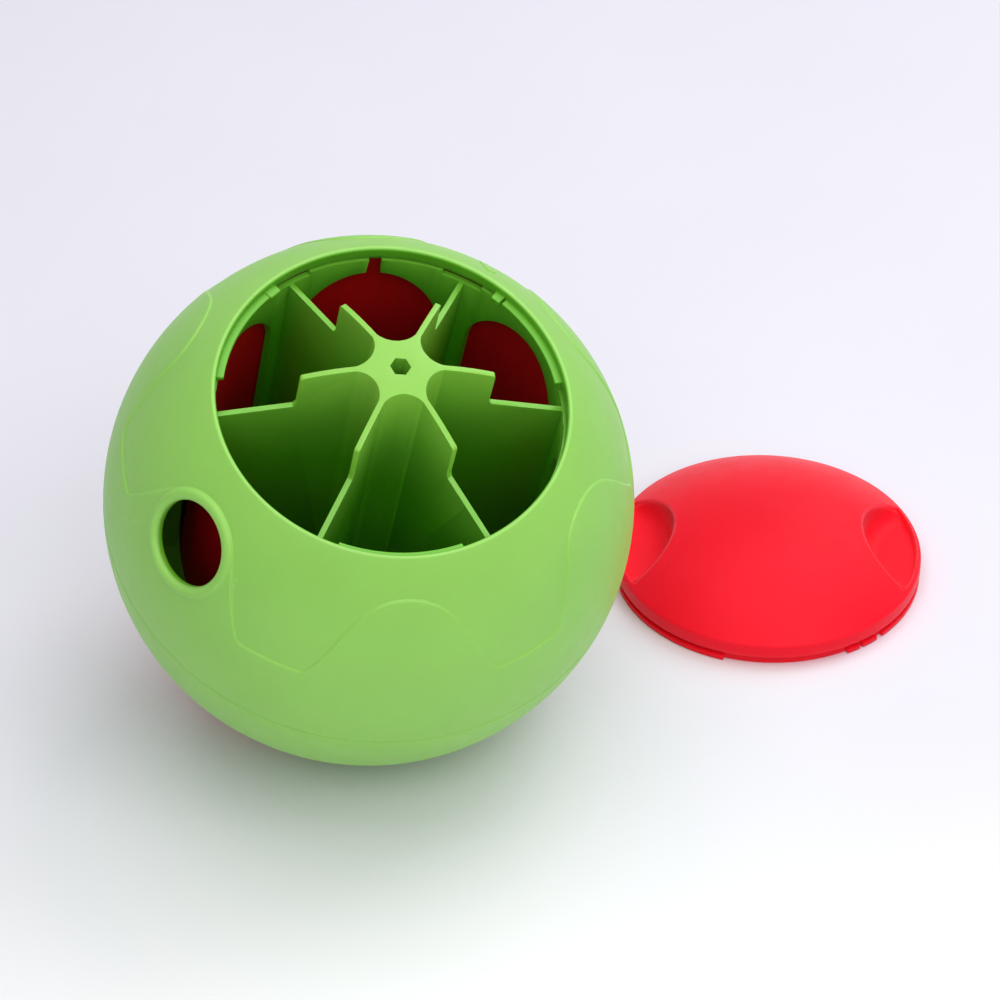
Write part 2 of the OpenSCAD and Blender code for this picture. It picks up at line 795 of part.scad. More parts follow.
module motor_end_bell() {
    color(nylon) pack_frame() translate([motor_at[0], motor_at[1], case_bottom - motor_l]) {
        cylinder(r = motor_r - box_t / 2, h = bell_h);
        for (side = [-1, 1]) translate([side * motor_r / 2, 0, -bell_h / 2])
            cylinder(r = motor_screw_r, h = bell_h / 2);
    }
}

module motor_screws() {
    color(steel) pack_frame() translate([motor_at[0], motor_at[1], case_floor])
        for (side = [-1, 1]) rotate([0, 0, pinion_dir + side * 90]) translate([motor_screw_at, 0, 0]) {
            translate([0, 0, -case_t - bite / 2]) cylinder(r = motor_screw_r, h = case_t + bite / 2);
            cylinder(r = 2 * motor_screw_r, h = motor_screw_r);
        }
}

// The gearbox in plan, grown or shrunk
module case_plan(grow) {
    circle(out_r + coarse_module + case_room + grow);
    translate(upper_at) circle(upper_big_r + coarse_module + case_room + grow);
    translate(lower_at) circle(lower_big_r + fine_module + case_room + grow);
    translate(motor_at) circle(motor_r + grow);
}

module gearbox_case() {
    color(dark) pack_frame() difference() {
        union() {
            translate([0, 0, case_bottom]) linear_extrude(deck_bottom - case_bottom)
                case_plan(case_wall);
            for (ear = case_ears) translate([ear[0], ear[1], deck_bottom - 2 * deck_t])
                cylinder(r = case_ear_r, h = 2 * deck_t);
        }
        difference() {
            translate([0, 0, case_floor]) linear_extrude(deck_bottom - case_floor + overrun)
                case_plan(0);
            translate([0, 0, case_floor - overrun])
                cylinder(r = tip_r + bush_t, h = upper_top - case_floor - gear_gap + overrun);
        }
        translate([0, 0, case_floor]) cylinder(r = tip_r + run_gap, h = gear_w * 4);
        for (at = [upper_at, lower_at]) translate([at[0], at[1], case_bottom - overrun])
            cylinder(r = pin_r + thread_gap, h = case_t + 2 * overrun);
        translate([motor_at[0], motor_at[1], case_bottom - overrun]) {
            cylinder(r = motor_boss_r + thread_gap, h = case_t + 2 * overrun);
            for (side = [-1, 1]) rotate([0, 0, pinion_dir + side * 90])
                translate([motor_screw_at, 0, 0])
                    cylinder(r = motor_screw_r + thread_gap, h = case_t + 2 * overrun);
        }
        for (ear = case_ears) translate([ear[0], ear[1], deck_bottom - 3 * deck_t])
            cylinder(r = screw_r + play, h = 4 * deck_t);
    }
}

module gearbox_screws() {
    color(steel) pack_frame() for (ear = case_ears)
        translate([ear[0], ear[1], deck_bottom - 2 * deck_t]) rotate([180, 0, 0])
            translate([0, 0, -ear_screw_l]) screw(ear_screw_l);
}

module deck_screws() {
    color(steel) ball_frame() for (turn = [45:90:315]) rotate([0, 0, turn])
        translate([post_at, 0, deck_bottom - bite + play]) screw(bite + deck_t + ring_t - play);
}

module seal_ring() {
    color(dark) ball_frame() difference() {
        sphere(cap_in - seal_t * 0.1);
        sphere(ledge_out + seal_t * 0.1);
        translate([0, 0, -ball_r / 2]) cylinder(r = 2 * ball_r, h = 2 * ball_r);
        translate([0, 0, -ball_r - overrun]) cylinder(r = cap_r - seal_w, h = ball_r);
        difference() {
            cylinder(r = 2 * ball_r, h = 3 * ball_r, center = true);
            cylinder(r = cap_r - seal_w / 6, h = 4 * ball_r, center = true);
        }
        rotate([0, 0, pack_az]) for (az = base_screw_az) on_underside(base_screw_at, az)
            cylinder(r = boss_r + play, h = ball_r);
    }
}

// The battery box in plan: a rectangle with its far corners kept inside the ledge
module box_plan(grow) {
    intersection() {
        translate([box_u - grow, -box_l / 2 - grow]) square([box_w + 2 * grow, box_l + 2 * grow]);
        circle(box_round_r + grow);
    }
    translate([door_screw_at * cap_in / ball_r, 0]) circle(door_tab_r + grow);
}

module base_cap() {
    color(red) pack_frame() difference() {
        union() {
            intersection() {
                difference() {
                    sphere(ball_r);
                    sphere(cap_in);
                }
                translate([0, 0, -ball_r - overrun]) cylinder(r = cap_r, h = ball_r / 2);
            }
            for (az = base_screw_az) on_underside(base_screw_at, az)
                translate([0, 0, cap_in - seal_t]) cylinder(r = boss_r, h = boss_h);
            intersection() {
                on_underside(dial_at, 180) translate([0, 0, cup_in])
                    cylinder(r = dial_r + panel_gap + cup_t, h = cap_in - cup_in + cap_t / 2);
                sphere(ball_r - cap_t / 4);
            }
            intersection() {
                for (post = board_posts)
                    translate([board_at[0] + post[0], board_at[1] + post[1], -ball_r])
                        cylinder(r = board_post_r, h = ball_r + board_top - board_t);
                sphere(cap_in + cap_t / 2);
            }
        }
        translate([0, 0, -ball_r - overrun]) linear_extrude(ball_r) box_plan(panel_gap);
        on_underside(dial_at, 180) {
            translate([0, 0, cup_out]) cylinder(r = dial_r + panel_gap, h = ball_r);
            cylinder(r = stem_r + panel_gap, h = ball_r);
        }
        for (az = base_screw_az) on_underside(base_screw_at, az) {
            cylinder(r = screw_r + play, h = ball_r + overrun);
            translate([0, 0, cap_in + seal_t]) cylinder(r = head_r + play, h = ball_r);
        }
        for (post = board_posts)
            translate([board_at[0] + post[0], board_at[1] + post[1], board_top - board_t - bite])
                cylinder(r = screw_r + thread_gap, h = bite + overrun);
    }
}

module base_screws() {
    color(steel) pack_frame() for (az = base_screw_az) on_underside(base_screw_at, az)
        translate([0, 0, cap_in + seal_t - bite]) screw(bite);
}

module battery_box() {
    color(dark) pack_frame() difference() {
        intersection() {
            union() {
                translate([0, 0, -ball_r]) linear_extrude(ball_r + case_bottom - 2 * play) box_plan(0);
                difference() {
                    translate([0, 0, -ball_r]) linear_extrude(ball_r / 2) intersection() {
                        box_plan(box_flange_w);
                        circle(box_round_r);
                    }
                    sphere(cap_in - seat_gap - box_t);
                }
            }
            sphere(cap_in - seat_gap);
        }
        intersection() {
            translate([0, 0, -ball_r - overrun])
                linear_extrude(ball_r + case_bottom - 2 * play - box_t + overrun) intersection() {
                translate([box_u + box_t, -box_in_l / 2]) square([box_in_w, box_in_l]);
                circle(box_round_r - box_t);
            }
            sphere(ball_r + overrun);
        }
        on_underside(door_screw_at, 0) translate([0, 0, cap_in - bite - overrun])
            cylinder(r = screw_r + thread_gap, h = bite + 2 * overrun);
    }
}

module battery_cells() {
    for (i = [0, 1]) pack_frame()
        translate([box_u + box_t + cell_gap + cell_r + i * cell_pitch, 0, cell_z]) {
            flip = i == 0 ? 1 : -1;
            color(dark) rotate([flip * 90, 0, 0]) translate([0, 0, -cell_l / 2]) {
                cylinder(r = cell_r, h = cell_l - nub_h);
                cylinder(r = nub_r, h = cell_l);
            }
        }
}

module battery_contacts() {
    color(steel) pack_frame() for (i = [0, 1], side = [-1, 1])
        translate([box_u + box_t + cell_gap + cell_r + i * cell_pitch, side * box_in_l / 2, cell_z])
            rotate([90, 0, 0]) translate([-nub_r, -nub_r, side > 0 ? 0 : -contact_t])
                cube([2 * nub_r, 2 * nub_r, contact_t]);
}

module battery_door() {
    color(red) pack_frame() difference() {
        intersection() {
            difference() {
                sphere(ball_r);
                sphere(cap_in + seat_gap);
            }
            translate([0, 0, -ball_r - overrun]) linear_extrude(ball_r) box_plan(0);
        }
        on_underside(door_screw_at, 0) {
            cylinder(r = screw_r + play, h = ball_r + overrun);
            translate([0, 0, cap_in + seal_t * 2]) cylinder(r = head_r + play, h = ball_r);
        }
        translate([box_u + box_w / 5, 0, -ball_r - overrun])
            linear_extrude(overrun + ball_r - rise(ball_r - cap_t / 3, 0) + cap_t)
                square([grip_w, box_l / 3], center = true);
    }
}

module door_screw() {
    color(steel) pack_frame() on_underside(door_screw_at, 0)
        translate([0, 0, cap_in + seal_t * 2 - bite]) screw(bite);
}

module timer_dial() {
    color(red) pack_frame() on_underside(dial_at, 180) difference() {
        union() {
            intersection() {
                sphere(dial_out);
                translate([0, 0, dial_in]) cylinder(r = dial_r, h = ball_r);
            }
            translate([0, 0, cup_in - switch_h / 2])
                cylinder(r = stem_r, h = dial_in - cup_in + switch_h / 2);
        }
        for (side = [0, 180]) rotate([0, 0, side]) translate([grip_w / 2, 0, dial_out - grip_depth])
            intersection() {
                translate([0, -ball_r, 0]) cube([ball_r, 2 * ball_r, ball_r]);
                translate([-grip_w / 2, 0, 0]) cylinder(r = dial_r - grip_w / 2, h = ball_r);
            }
        translate([dial_r - grip_w / 2, -screw_r / 2, dial_out - grip_depth / 2])
            cube([grip_w, screw_r, ball_r]);
    }
}

module timer_switch() {
    color(dark) pack_frame() on_underside(dial_at, 180) translate([0, 0, cup_in - seat_gap - switch_h])
        difference() {
            cylinder(r = switch_r, h = switch_h);
            translate([0, 0, switch_h / 3]) cylinder(r = stem_r + run_gap, h = switch_h);
        }
}

module circuit_board() {
    color([0.1, 0.38, 0.2]) pack_frame() translate([board_at[0], board_at[1], board_top - board_t])
        difference() {
            translate([-board_w / 2, -board_l / 2, 0]) cube([board_w, board_l, board_t]);
            for (post = board_posts) translate([post[0], post[1], -overrun])
                cylinder(r = screw_r + play, h = board_t + 2 * overrun);
        }
}

module board_screws() {
    color(steel) pack_frame() for (post = board_posts)
        translate([board_at[0] + post[0], board_at[1] + post[1], board_top - board_t - bite + play])
            screw(bite + board_t - play);
}

module board_chips() {
    color(dark) pack_frame() translate([board_at[0], board_at[1], board_top]) {
        translate(chip_at) cube(chip_size);
        translate(can_at) cylinder(r = can_r, h = can_h);
        for (at = resistors_at) translate(at) cube(resistor_size);
    }
}

module buzzer() {
    at = board_at + buzzer_at;
    color(dark) pack_frame() translate([at[0], at[1], board_top])
        difference() {
            cylinder(r = buzzer_r, h = buzzer_h);
            translate([0, 0, buzzer_h / 2]) cylinder(r = screw_r, h = buzzer_h);
        }
}

// A finger scoop's space, grown by a wall
module scoop(grow) {
    r = scoop_r + grow;
    corner = scoop_round + grow;
    translate([scoop_at, 0, scoop_floor - grow]) rotate_extrude() union() {
        translate([0, corner]) square([r, ball_r]);
        square([r - corner, corner]);
        translate([r - corner, corner]) circle(corner);
    }
}

module lid() {
    color(red) translate([lid_x, lid_y, -skirt_bottom]) rotate([0, 0, lid_spin]) {
        difference() {
            union() {
                difference() {
                    intersection() {
                        sphere(crown_r);
                        translate([0, 0, rail_top + play / 2]) cylinder(r = lid_r, h = ball_r);
                    }
                    intersection() {
                        sphere(crown_r - lid_t);
                        cylinder(r = flange_in, h = ball_r);
                    }
                }
                intersection() {
                    union() {
                        for (side = [0, 180]) rotate([0, 0, side]) scoop(lid_t);
                        translate([0, 0, skirt_bottom]) tube(skirt_r, skirt_r - skirt_t, ball_r);
                    }
                    sphere(crown_r - lid_t / 2);
                    translate([0, 0, skirt_bottom]) cylinder(r = skirt_r, h = ball_r);
                }
            }
            for (side = [0, 180]) rotate([0, 0, side]) scoop(0);
        }
        intersection() {
            translate([0, 0, rail_top + play / 2]) tube(lid_r, lid_r - lid_t, ball_r);
            sphere(crown_r);
        }
        for (k = [0:rail_count - 1]) rotate([0, 0, lug_az + k * 360 / rail_count]) {
            translate([0, 0, lug_bottom]) arc_ring(lug_r, skirt_r - skirt_t / 2, lug_t, lug_arc);
            for (tooth = teeth) rotate([0, 0, tooth[0]]) translate([0, 0, lug_bottom])
                arc_ring(lug_r, skirt_r - skirt_t / 2, lug_t, tooth[1]);
        }
    }
}

upper_shell();
lower_shell();
tumble_floor();
drum();
pod_wheel();
drive_shaft();
output_gear();
shaft_bush();
idler_gear_upper();
idler_gear_lower();
gear_pins();
motor_pinion();
motor_shaft();
motor_can();
motor_end_bell();
motor_screws();
gearbox_case();
gearbox_screws();
deck_screws();
seal_ring();
base_cap();
base_screws();
battery_box();
battery_cells();
battery_contacts();
battery_door();
door_screw();
timer_dial();
timer_switch();
circuit_board();
board_chips();
buzzer();
board_screws();
lid();
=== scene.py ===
import json
import math
import bmesh
import bpy
import numpy as np
from mathutils import Matrix, Vector
from mathutils.geometry import delaunay_2d_cdt


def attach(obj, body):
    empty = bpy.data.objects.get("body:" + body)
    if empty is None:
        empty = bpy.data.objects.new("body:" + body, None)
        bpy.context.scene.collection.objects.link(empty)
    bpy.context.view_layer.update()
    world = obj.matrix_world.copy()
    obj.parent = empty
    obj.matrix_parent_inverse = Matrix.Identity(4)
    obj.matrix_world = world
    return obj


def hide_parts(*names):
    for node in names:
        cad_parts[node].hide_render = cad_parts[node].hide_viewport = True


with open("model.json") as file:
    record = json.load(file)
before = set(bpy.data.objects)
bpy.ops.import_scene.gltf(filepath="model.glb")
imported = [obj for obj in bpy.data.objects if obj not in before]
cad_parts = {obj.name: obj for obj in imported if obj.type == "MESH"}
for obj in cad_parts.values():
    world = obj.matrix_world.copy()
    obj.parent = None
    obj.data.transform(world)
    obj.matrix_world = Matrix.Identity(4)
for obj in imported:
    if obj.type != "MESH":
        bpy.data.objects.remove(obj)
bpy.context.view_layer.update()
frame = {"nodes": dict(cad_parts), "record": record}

nodes = frame["nodes"]

# Lengths are millimetres and angles degrees, in the ball's own frame: its axis is Z and its centre
# the origin. A name in AZ is a direction round Z and one in LAT an angle above the equator.
MM = 0.001
BALL_R = 75
TILT, LEAN, PACK_TURN = 22.2, 8.3, 30
BALL = (Matrix.Translation((0, 0, BALL_R * MM)) @ Matrix.Rotation(math.radians(TILT), 4, "X")
        @ Matrix.Rotation(math.radians(LEAN), 4, "Y") @ Matrix.Scale(MM, 4))
PACK = BALL @ Matrix.Rotation(math.radians(PACK_TURN), 4, "Z")

# Upper shell: radius below the wave step, above it and inside, and the joint with the lower shell
SKIN_R, CROWN_R, INNER_R = 74.97, 74.55, 72.4
JOINT_Z, JOINT_EDGE_Z = -2.2, -1.6
JOINT_ROUND = ((74.65, JOINT_Z), (74.82, -2.09), (74.92, -1.93), (74.95, -1.76))

# Mouth: rim, collar, the thin lip under the collar, and the three ledges with their stop blocks
MOUTH_R, RIM_ROUND = 48, 0.8
COLLAR_T, LIP_T, LIP_WALL, LIP_BOTTOM = 1.6, 0.7, 0.85, 49.43
COLLAR_ROUND, LIP_ROUND, LIP_TOP, COLLAR_FOOT = 0.15, 0.05, 50.9, 51
RAIL_TOP, RAIL_BOTTOM = 53.54, 52.14
RAIL_R, RAIL_SINK = 46, 0.8
RAIL_AZ, RAIL_ARC, RAIL_EDGE = 34, 42, 0.3
STOP_ARC, STOP_RISE = 5, 0.35

# Exit hole, the ring round it, how far the ring's blend reaches, and the guide rib inside
EXIT_AZ, EXIT_LAT = -144, 29
EXIT_R, EXIT_CHAMFER = 11.9, 0.3
RING_AT, RING_R, RING_Z = 13.5, 1.9, 72.72
RING_DROP, RING_BLEND, OUTER_EDGE = 1.4, 0.45, 16.1
RIB_AZ, RIB_T, RIB_IN, RIB_ROUND, RIB_SINK = -176, 1.6, 53, 0.45, 0.5

# Wave step: (how far along from a crest to the next trough, how high between trough and crest)
CREST_LAT, TROUGH_LAT, WAVE_PITCH = 39.9, 18.3, 60
WAVE = ((0, 1), (0.14, 0.98), (0.27, 0.915), (0.37, 0.82), (0.45, 0.68), (0.52, 0.52),
        (0.59, 0.34), (0.66, 0.165), (0.715, 0.035), (0.735, 0.008), (0.76, 0), (1, 0))
WAVE_SAMPLES, WAVE_REACH, WAVE_SOFT = 7200, 40, 9
STEP_W = 0.8

# Lid, in its own frame: the heights are those it would have when it closes the mouth
LID_AT = (119, 62.4)
LID_SPIN = -2
LID_R, LID_T, LID_RIM_ROUND, LID_FOOT_ROUND = 47.1, 1.5, 1.2, 0.35
DOME_DROP = 1.4
LID_BOTTOM = 50.34
FLANGE_BOTTOM = 53.64
SKIRT_OUT, SKIRT_IN, SKIRT_ROUND = 45.6, 43.8, 0.3
LUG_R, LUG_TOP, LUG_BOTTOM = 47, 52.04, 50.54
LUG_AZ, LUG_ARC, LUG_LEAD = -6, 38, 18
LUG_SINK, LUG_EDGE = 0.6, 0.2
TEETH = ((69, 5.6), (76.5, 7))
SCOOP_R, SCOOP_AT, SCOOP_FLOOR = 22, 50.9, 56.64
SCOOP_LIP, SCOOP_FOOT, SCOOP_DRAFT, SCOOP_BLEND = 1.1, 5.0, 0.15, 0.5
LID_RING_R, LID_RING_W = 45.15, 0.5
LID = (Matrix.Translation((LID_AT[0] * MM, LID_AT[1] * MM, -LID_BOTTOM * MM))
       @ Matrix.Rotation(math.radians(LID_SPIN), 4, "Z") @ Matrix.Scale(MM, 4))


# ---- camera ----
ELEVATION = 38.055
LENS, SENSOR = 137.07, 36
AIM, AIM_RISE, DISTANCE = Vector((0.0370, 0, BALL_R * MM)), 0.00007, 1.0779
elev = math.radians(ELEVATION)
fwd = Vector((0, math.cos(elev), -math.sin(elev)))
up = Vector((0, math.sin(elev), math.cos(elev)))
cam_data = bpy.data.cameras.new("camera")
cam_data.lens = LENS
cam_data.sensor_width = SENSOR
cam = bpy.data.objects.new("camera", cam_data)
cam.location = AIM - fwd * DISTANCE + up * AIM_RISE
cam.rotation_euler = (math.radians(90) - elev, 0, 0)
bpy.context.scene.collection.objects.link(cam)
bpy.context.scene.camera = cam
bpy.context.scene.view_settings.view_transform = "Standard"


# ---- materials ----
class Net:
    """A material's node tree with short calls."""

    def __init__(self, name):
        self.mat = bpy.data.materials.new(name)
        self.mat.use_nodes = True
        self.tree = self.mat.node_tree
        self.tree.nodes.clear()
        self.out = self.add("ShaderNodeOutputMaterial")
        self.bsdf = self.add("ShaderNodeBsdfPrincipled")
        self.link(self.bsdf, "BSDF", self.out, "Surface")
        self.coord = self.add("ShaderNodeTexCoord")

    def add(self, kind, inputs=None, **values):
        n = self.tree.nodes.new(kind)
        for k, v in values.items():
            setattr(n, k, v)
        for k, v in (inputs or {}).items():
            n.inputs[k].default_value = v
        return n

    def link(self, a, a_out, b, b_in):
        self.tree.links.new(a.outputs[a_out], b.inputs[b_in])

    def noise(self, scale, detail=3.0, rough=0.5, stretch=None):
        n = self.add("ShaderNodeTexNoise", {"Scale": scale, "Detail": detail, "Roughness": rough})
        if stretch:
            m = self.add("ShaderNodeMapping")
            m.inputs["Scale"].default_value = stretch
            self.link(self.coord, "Object", m, "Vector")
            self.link(m, "Vector", n, "Vector")
        else:
            self.link(self.coord, "Object", n, "Vector")
        return n

    def span(self, source, output, lo, hi, to_lo, to_hi):
        """Maps an output's range lo to hi onto another range, and clamps it there."""
        limits = {"From Min": lo, "From Max": hi, "To Min": to_lo, "To Max": to_hi}
        r = self.add("ShaderNodeMapRange", limits)
        self.link(source, output, r, "Value")
        return r

    def blend(self, factor, a, b):
        m = self.add("ShaderNodeMix", data_type="RGBA")
        self.link(factor, 0, m, "Factor")
        for name, v in (("A", a), ("B", b)):
            if isinstance(v, tuple):
                m.inputs[name].default_value = (*v, 1)
            else:
                self.link(v, "Result", m, name)
        return m

    def painted_edge_highlight(self):
        """Share of a painted highlight on edges: rounded edges have it, the sharp ridges of a mesh
        do not.
        """
        geo = self.add("ShaderNodeNewGeometry")
        wear_and_highlight = self.span(geo, "Pointiness", 0.508, 0.54, 0, 0.55)
        sharp = self.span(geo, "Pointiness", 0.55, 0.57, 1, 0)
        both = self.add("ShaderNodeMath", operation="MULTIPLY")
        self.link(wear_and_highlight, "Result", both, 0)
        self.link(sharp, "Result", both, 1)
        return both

    def painted_shade_share(self, kind, start, end):
        """Share of painted shade: the way from start to end, along the ball's axis or along its
        radius.
        """
        rest = self.add("ShaderNodeVectorMath", operation="SUBTRACT")
        self.link(self.coord, "Object", rest, 0)
        rest.inputs[1].default_value = BALL.translation
        if kind == "depth":
            place, out = self.add("ShaderNodeVectorMath", operation="DOT_PRODUCT"), "Value"
            place.inputs[1].default_value = (BALL.to_3x3() @ Vector((0, 0, 1))).normalized()
        else:
            place, out = self.add("ShaderNodeVectorMath", operation="LENGTH"), "Value"
        self.link(rest, "Vector", place, 0)
        return self.span(place, out, start * MM, end * MM, 0, 1)


def plastic(name, base, shade, rough=0.4, grain=0.012, grain_size=0.35, glow=0.0,
            glow_radius=(0.3, 1, 0.2), edge=None, shine=0.5, haze=0.0, haze_tint=(1, 1, 1),
            painted_shade=None):
    """Moulded plastic: clouds of tone from base to shade, duller spots and spark-eroded grain.

    The grain's depth and size are in millimetres. The edge is the colour of a painted highlight on
    rounded edges, and the last argument gives the colour of painted shade that the inside turns
    to:
    ("depth" or "radius", start, end, colour).
    """
    n = Net(name)
    cloud = n.span(n.noise(38, 5), "Fac", 0.35, 0.72, 0, 1)
    color = n.blend(cloud, base, shade)
    # Painted highlight: rounded edges turn to the paler edge colour.
    if edge:
        color = n.blend(n.painted_edge_highlight(), color, edge)
    # Painted shade: the inside turns to the darker colour.
    if painted_shade:
        kind, start, end, painted_dark = painted_shade
        color = n.blend(n.painted_shade_share(kind, start, end), color, painted_dark)
    n.link(color, "Result", n.bsdf, "Base Color")
    dull = n.span(n.noise(150, 6, 0.7), "Fac", 0.3, 0.7, rough - 0.05, rough + 0.07)
    n.link(dull, "Result", n.bsdf, "Roughness")
    fine = n.noise(1000 / grain_size, 3)
    bump = n.add("ShaderNodeBump", {"Strength": 0.5, "Distance": grain * MM})
    n.link(fine, "Fac", bump, "Height")
    n.link(bump, "Normal", n.bsdf, "Normal")
    n.bsdf.inputs["IOR"].default_value = 1.5
    n.bsdf.inputs["Specular IOR Level"].default_value = shine
    n.bsdf.inputs["Sheen Weight"].default_value = haze
    n.bsdf.inputs["Sheen Roughness"].default_value = 0.45
    n.bsdf.inputs["Sheen Tint"].default_value = (*haze_tint, 1)
    if glow:
        n.bsdf.inputs["Subsurface Weight"].default_value = glow
        n.bsdf.inputs["Subsurface Radius"].default_value = glow_radius
        n.bsdf.inputs["Subsurface Scale"].default_value = 0.003
    return n.mat


def metal(name, base, rough, stretch=(1, 1, 14)):
    """Drawn metal: streaks in one direction over a soft tarnish."""
    n = Net(name)
    tarnish = n.span(n.noise(90, 5), "Fac", 0.4, 0.8, 0, 0.6)
    n.link(n.blend(tarnish, base, tuple(c * 0.72 for c in base)), "Result", n.bsdf, "Base Color")
    streak = n.noise(700, 4, 0.6, stretch)
    wear_and_highlight = n.span(streak, "Fac", 0.3, 0.7, rough - 0.06, rough + 0.12)
    n.link(wear_and_highlight, "Result", n.bsdf, "Roughness")
    bump = n.add("ShaderNodeBump", {"Strength": 0.3, "Distance": 0.004 * MM})
    n.link(streak, "Fac", bump, "Height")
    n.link(bump, "Normal", n.bsdf, "Normal")
    n.bsdf.inputs["Metallic"].default_value = 1
    return n.mat


RED_GLOW = (1, 0.15, 0.1)
SHELL_GREEN, SHELL_SHADE = (0.262, 0.58, 0.087), (0.243, 0.55, 0.079)
# The shells turn darker inside radius 74.3 mm, fully by 73.6 mm: painted shade on their inside
# faces.
SHELL_LOOK = dict(rough=0.44, grain=0.022, grain_size=0.45, glow=0.2, haze=0.03,
                  haze_tint=(0.9, 1, 0.88), painted_shade=("radius", 74.3, 73.6, (0.13, 0.44, 0.015)))
M = {
    "shell_green": plastic("shell_green", SHELL_GREEN, SHELL_SHADE, **SHELL_LOOK),
    # The pod wheel turns darker further down the ball's axis: painted shade in the pods.
    "wheel_green": plastic("wheel_green", (0.25, 0.57, 0.06), (0.23, 0.54, 0.052), 0.34, 0.006,
                           glow=0.25, shine=0.45, painted_shade=("depth", 69, 26, (0.07, 0.37, 0.005))),
    "drum_red": plastic("drum_red", (0.42, 0.0015, 0.005), (0.36, 0.001, 0.004), 0.45, 0.006,
                        shine=0.12),
    # The lid's edge colour is a painted highlight on its rounded edges.
    "lid_red": plastic("lid_red", (0.92, 0.005, 0.022), (0.88, 0.004, 0.017), 0.46, 0.045, 0.5,
                       glow=0.15, glow_radius=RED_GLOW, edge=(0.96, 0.05, 0.08), shine=0.12,
                       haze=0.13, haze_tint=(1, 0.6, 0.7)),
    "cap_red": plastic("cap_red", (0.93, 0.016, 0.04), (0.89, 0.012, 0.032), 0.44, 0.012,
                       glow=0.15, glow_radius=RED_GLOW),
    "gear_nylon": plastic("gear_nylon", (0.8, 0.79, 0.72), (0.75, 0.74, 0.66), 0.45, glow=0.2,
                          glow_radius=(1, 0.9, 0.7)),
    "case_black": plastic("case_black", (0.03, 0.03, 0.033), (0.022, 0.022, 0.024), 0.5, 0.02),
    "steel": metal("steel", (0.62, 0.62, 0.64), 0.3),
    "brass": metal("brass", (0.78, 0.58, 0.27), 0.3),
    "seal_rubber": plastic("seal_rubber", (0.03, 0.03, 0.03), (0.02, 0.02, 0.02), 0.72, 0.02),
    "board_green": plastic("board_green", (0.02, 0.16, 0.05), (0.015, 0.13, 0.04), 0.28, 0.004),
    "cell_sleeve": plastic("cell_sleeve", (0.05, 0.05, 0.06), (0.04, 0.04, 0.05), 0.25, 0.004),
}
# The upper shell's skin has a painted highlight on its rounded edges, which would be spots on the
# other nodes' coarser meshes.
painted_edge_green = plastic("shell_green_painted_edges", SHELL_GREEN, SHELL_SHADE, edge=(0.42, 0.78, 0.2),
                      **SHELL_LOOK)
for part in frame["record"]["subparts"]:
    o = nodes[part["node"]]
    o.data.materials.clear()
    o.data.materials.append(M[part["material_slot"]])


# ---- mesh helpers ----
def grid_faces(rows, cols, wrap_rows=False):
    """Quads of a grid whose columns close on themselves."""
    i = np.arange(rows if wrap_rows else rows - 1)[:, None]
    j = np.arange(cols)[None, :]
    a = i * cols + j
    b = i * cols + (j + 1) % cols
    up_row = ((i + 1) % rows) * cols
    return np.stack([a, b, up_row + (j + 1) % cols, up_row + j], -1)


def tube_faces(count, k):
    """Quads and two end caps of a tube of count rings with k points each."""
    quads = [[s * k + j, s * k + (j + 1) % k, (s + 1) * k + (j + 1) % k, (s + 1) * k + j]
             for s in range(count - 1) for j in range(k)]
    return quads + [list(range(k))[::-1], [(count - 1) * k + j for j in range(k)]]


def add_object(name, data):
    o = bpy.data.objects.new(name, data)
    bpy.context.scene.collection.objects.link(o)
    return o


def make(name, verts, faces, matrix, body, slot, replaces=None, merge=0.0, flat=False):
    """A mesh object from local millimetres that rides on a body."""
    me = bpy.data.meshes.new(name)
    me.from_pydata(np.asarray(verts).tolist(), [], [list(map(int, f)) for f in faces])
    me.transform(matrix)
    if merge:
        bm = bmesh.new()
        bm.from_mesh(me)
        bmesh.ops.remove_doubles(bm, verts=bm.verts, dist=merge * MM)
        bm.to_mesh(me)
        bm.free()
    if not flat:
        me.shade_smooth()
    me.materials.append(M[slot])
    o = add_object(name, me)
    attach(o, body)
    if replaces:
        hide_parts(replaces)
    return o


def soften(o, width, segments, angle=28):
    """Rounds an object's sharp edges and keeps its flats flat."""
    weld = o.modifiers.new("weld", "WELD")
    weld.merge_threshold = 0.00001
    bev = o.modifiers.new("edges", "BEVEL")
    bev.width = width * MM
    bev.segments = segments
    bev.limit_method = "ANGLE"
    bev.angle_limit = math.radians(angle)
    bev.harden_normals = True
    bev.use_clamp_overlap = True


def turned(profile, cols):
    """Verts of a profile of (radius, height) pairs turned about Z."""
    th = np.arange(cols) * 2 * np.pi / cols
    p = np.asarray(profile, float)
    return np.stack([np.outer(p[:, 0], np.cos(th)), np.outer(p[:, 0], np.sin(th)),
                     np.repeat(p[:, 1:2], cols, 1)], -1).reshape(-1, 3)


def circle(r, turns):
    """Points at the given turns, in radians, on a circle round the origin."""
    return np.stack([r * np.cos(turns), r * np.sin(turns)], -1)


def arc(cx, cz, r, a0, a1, n):
    return [(cx + r * math.cos(math.radians(t)), cz + r * math.sin(math.radians(t)))
            for t in np.linspace(a0, a1, n)]


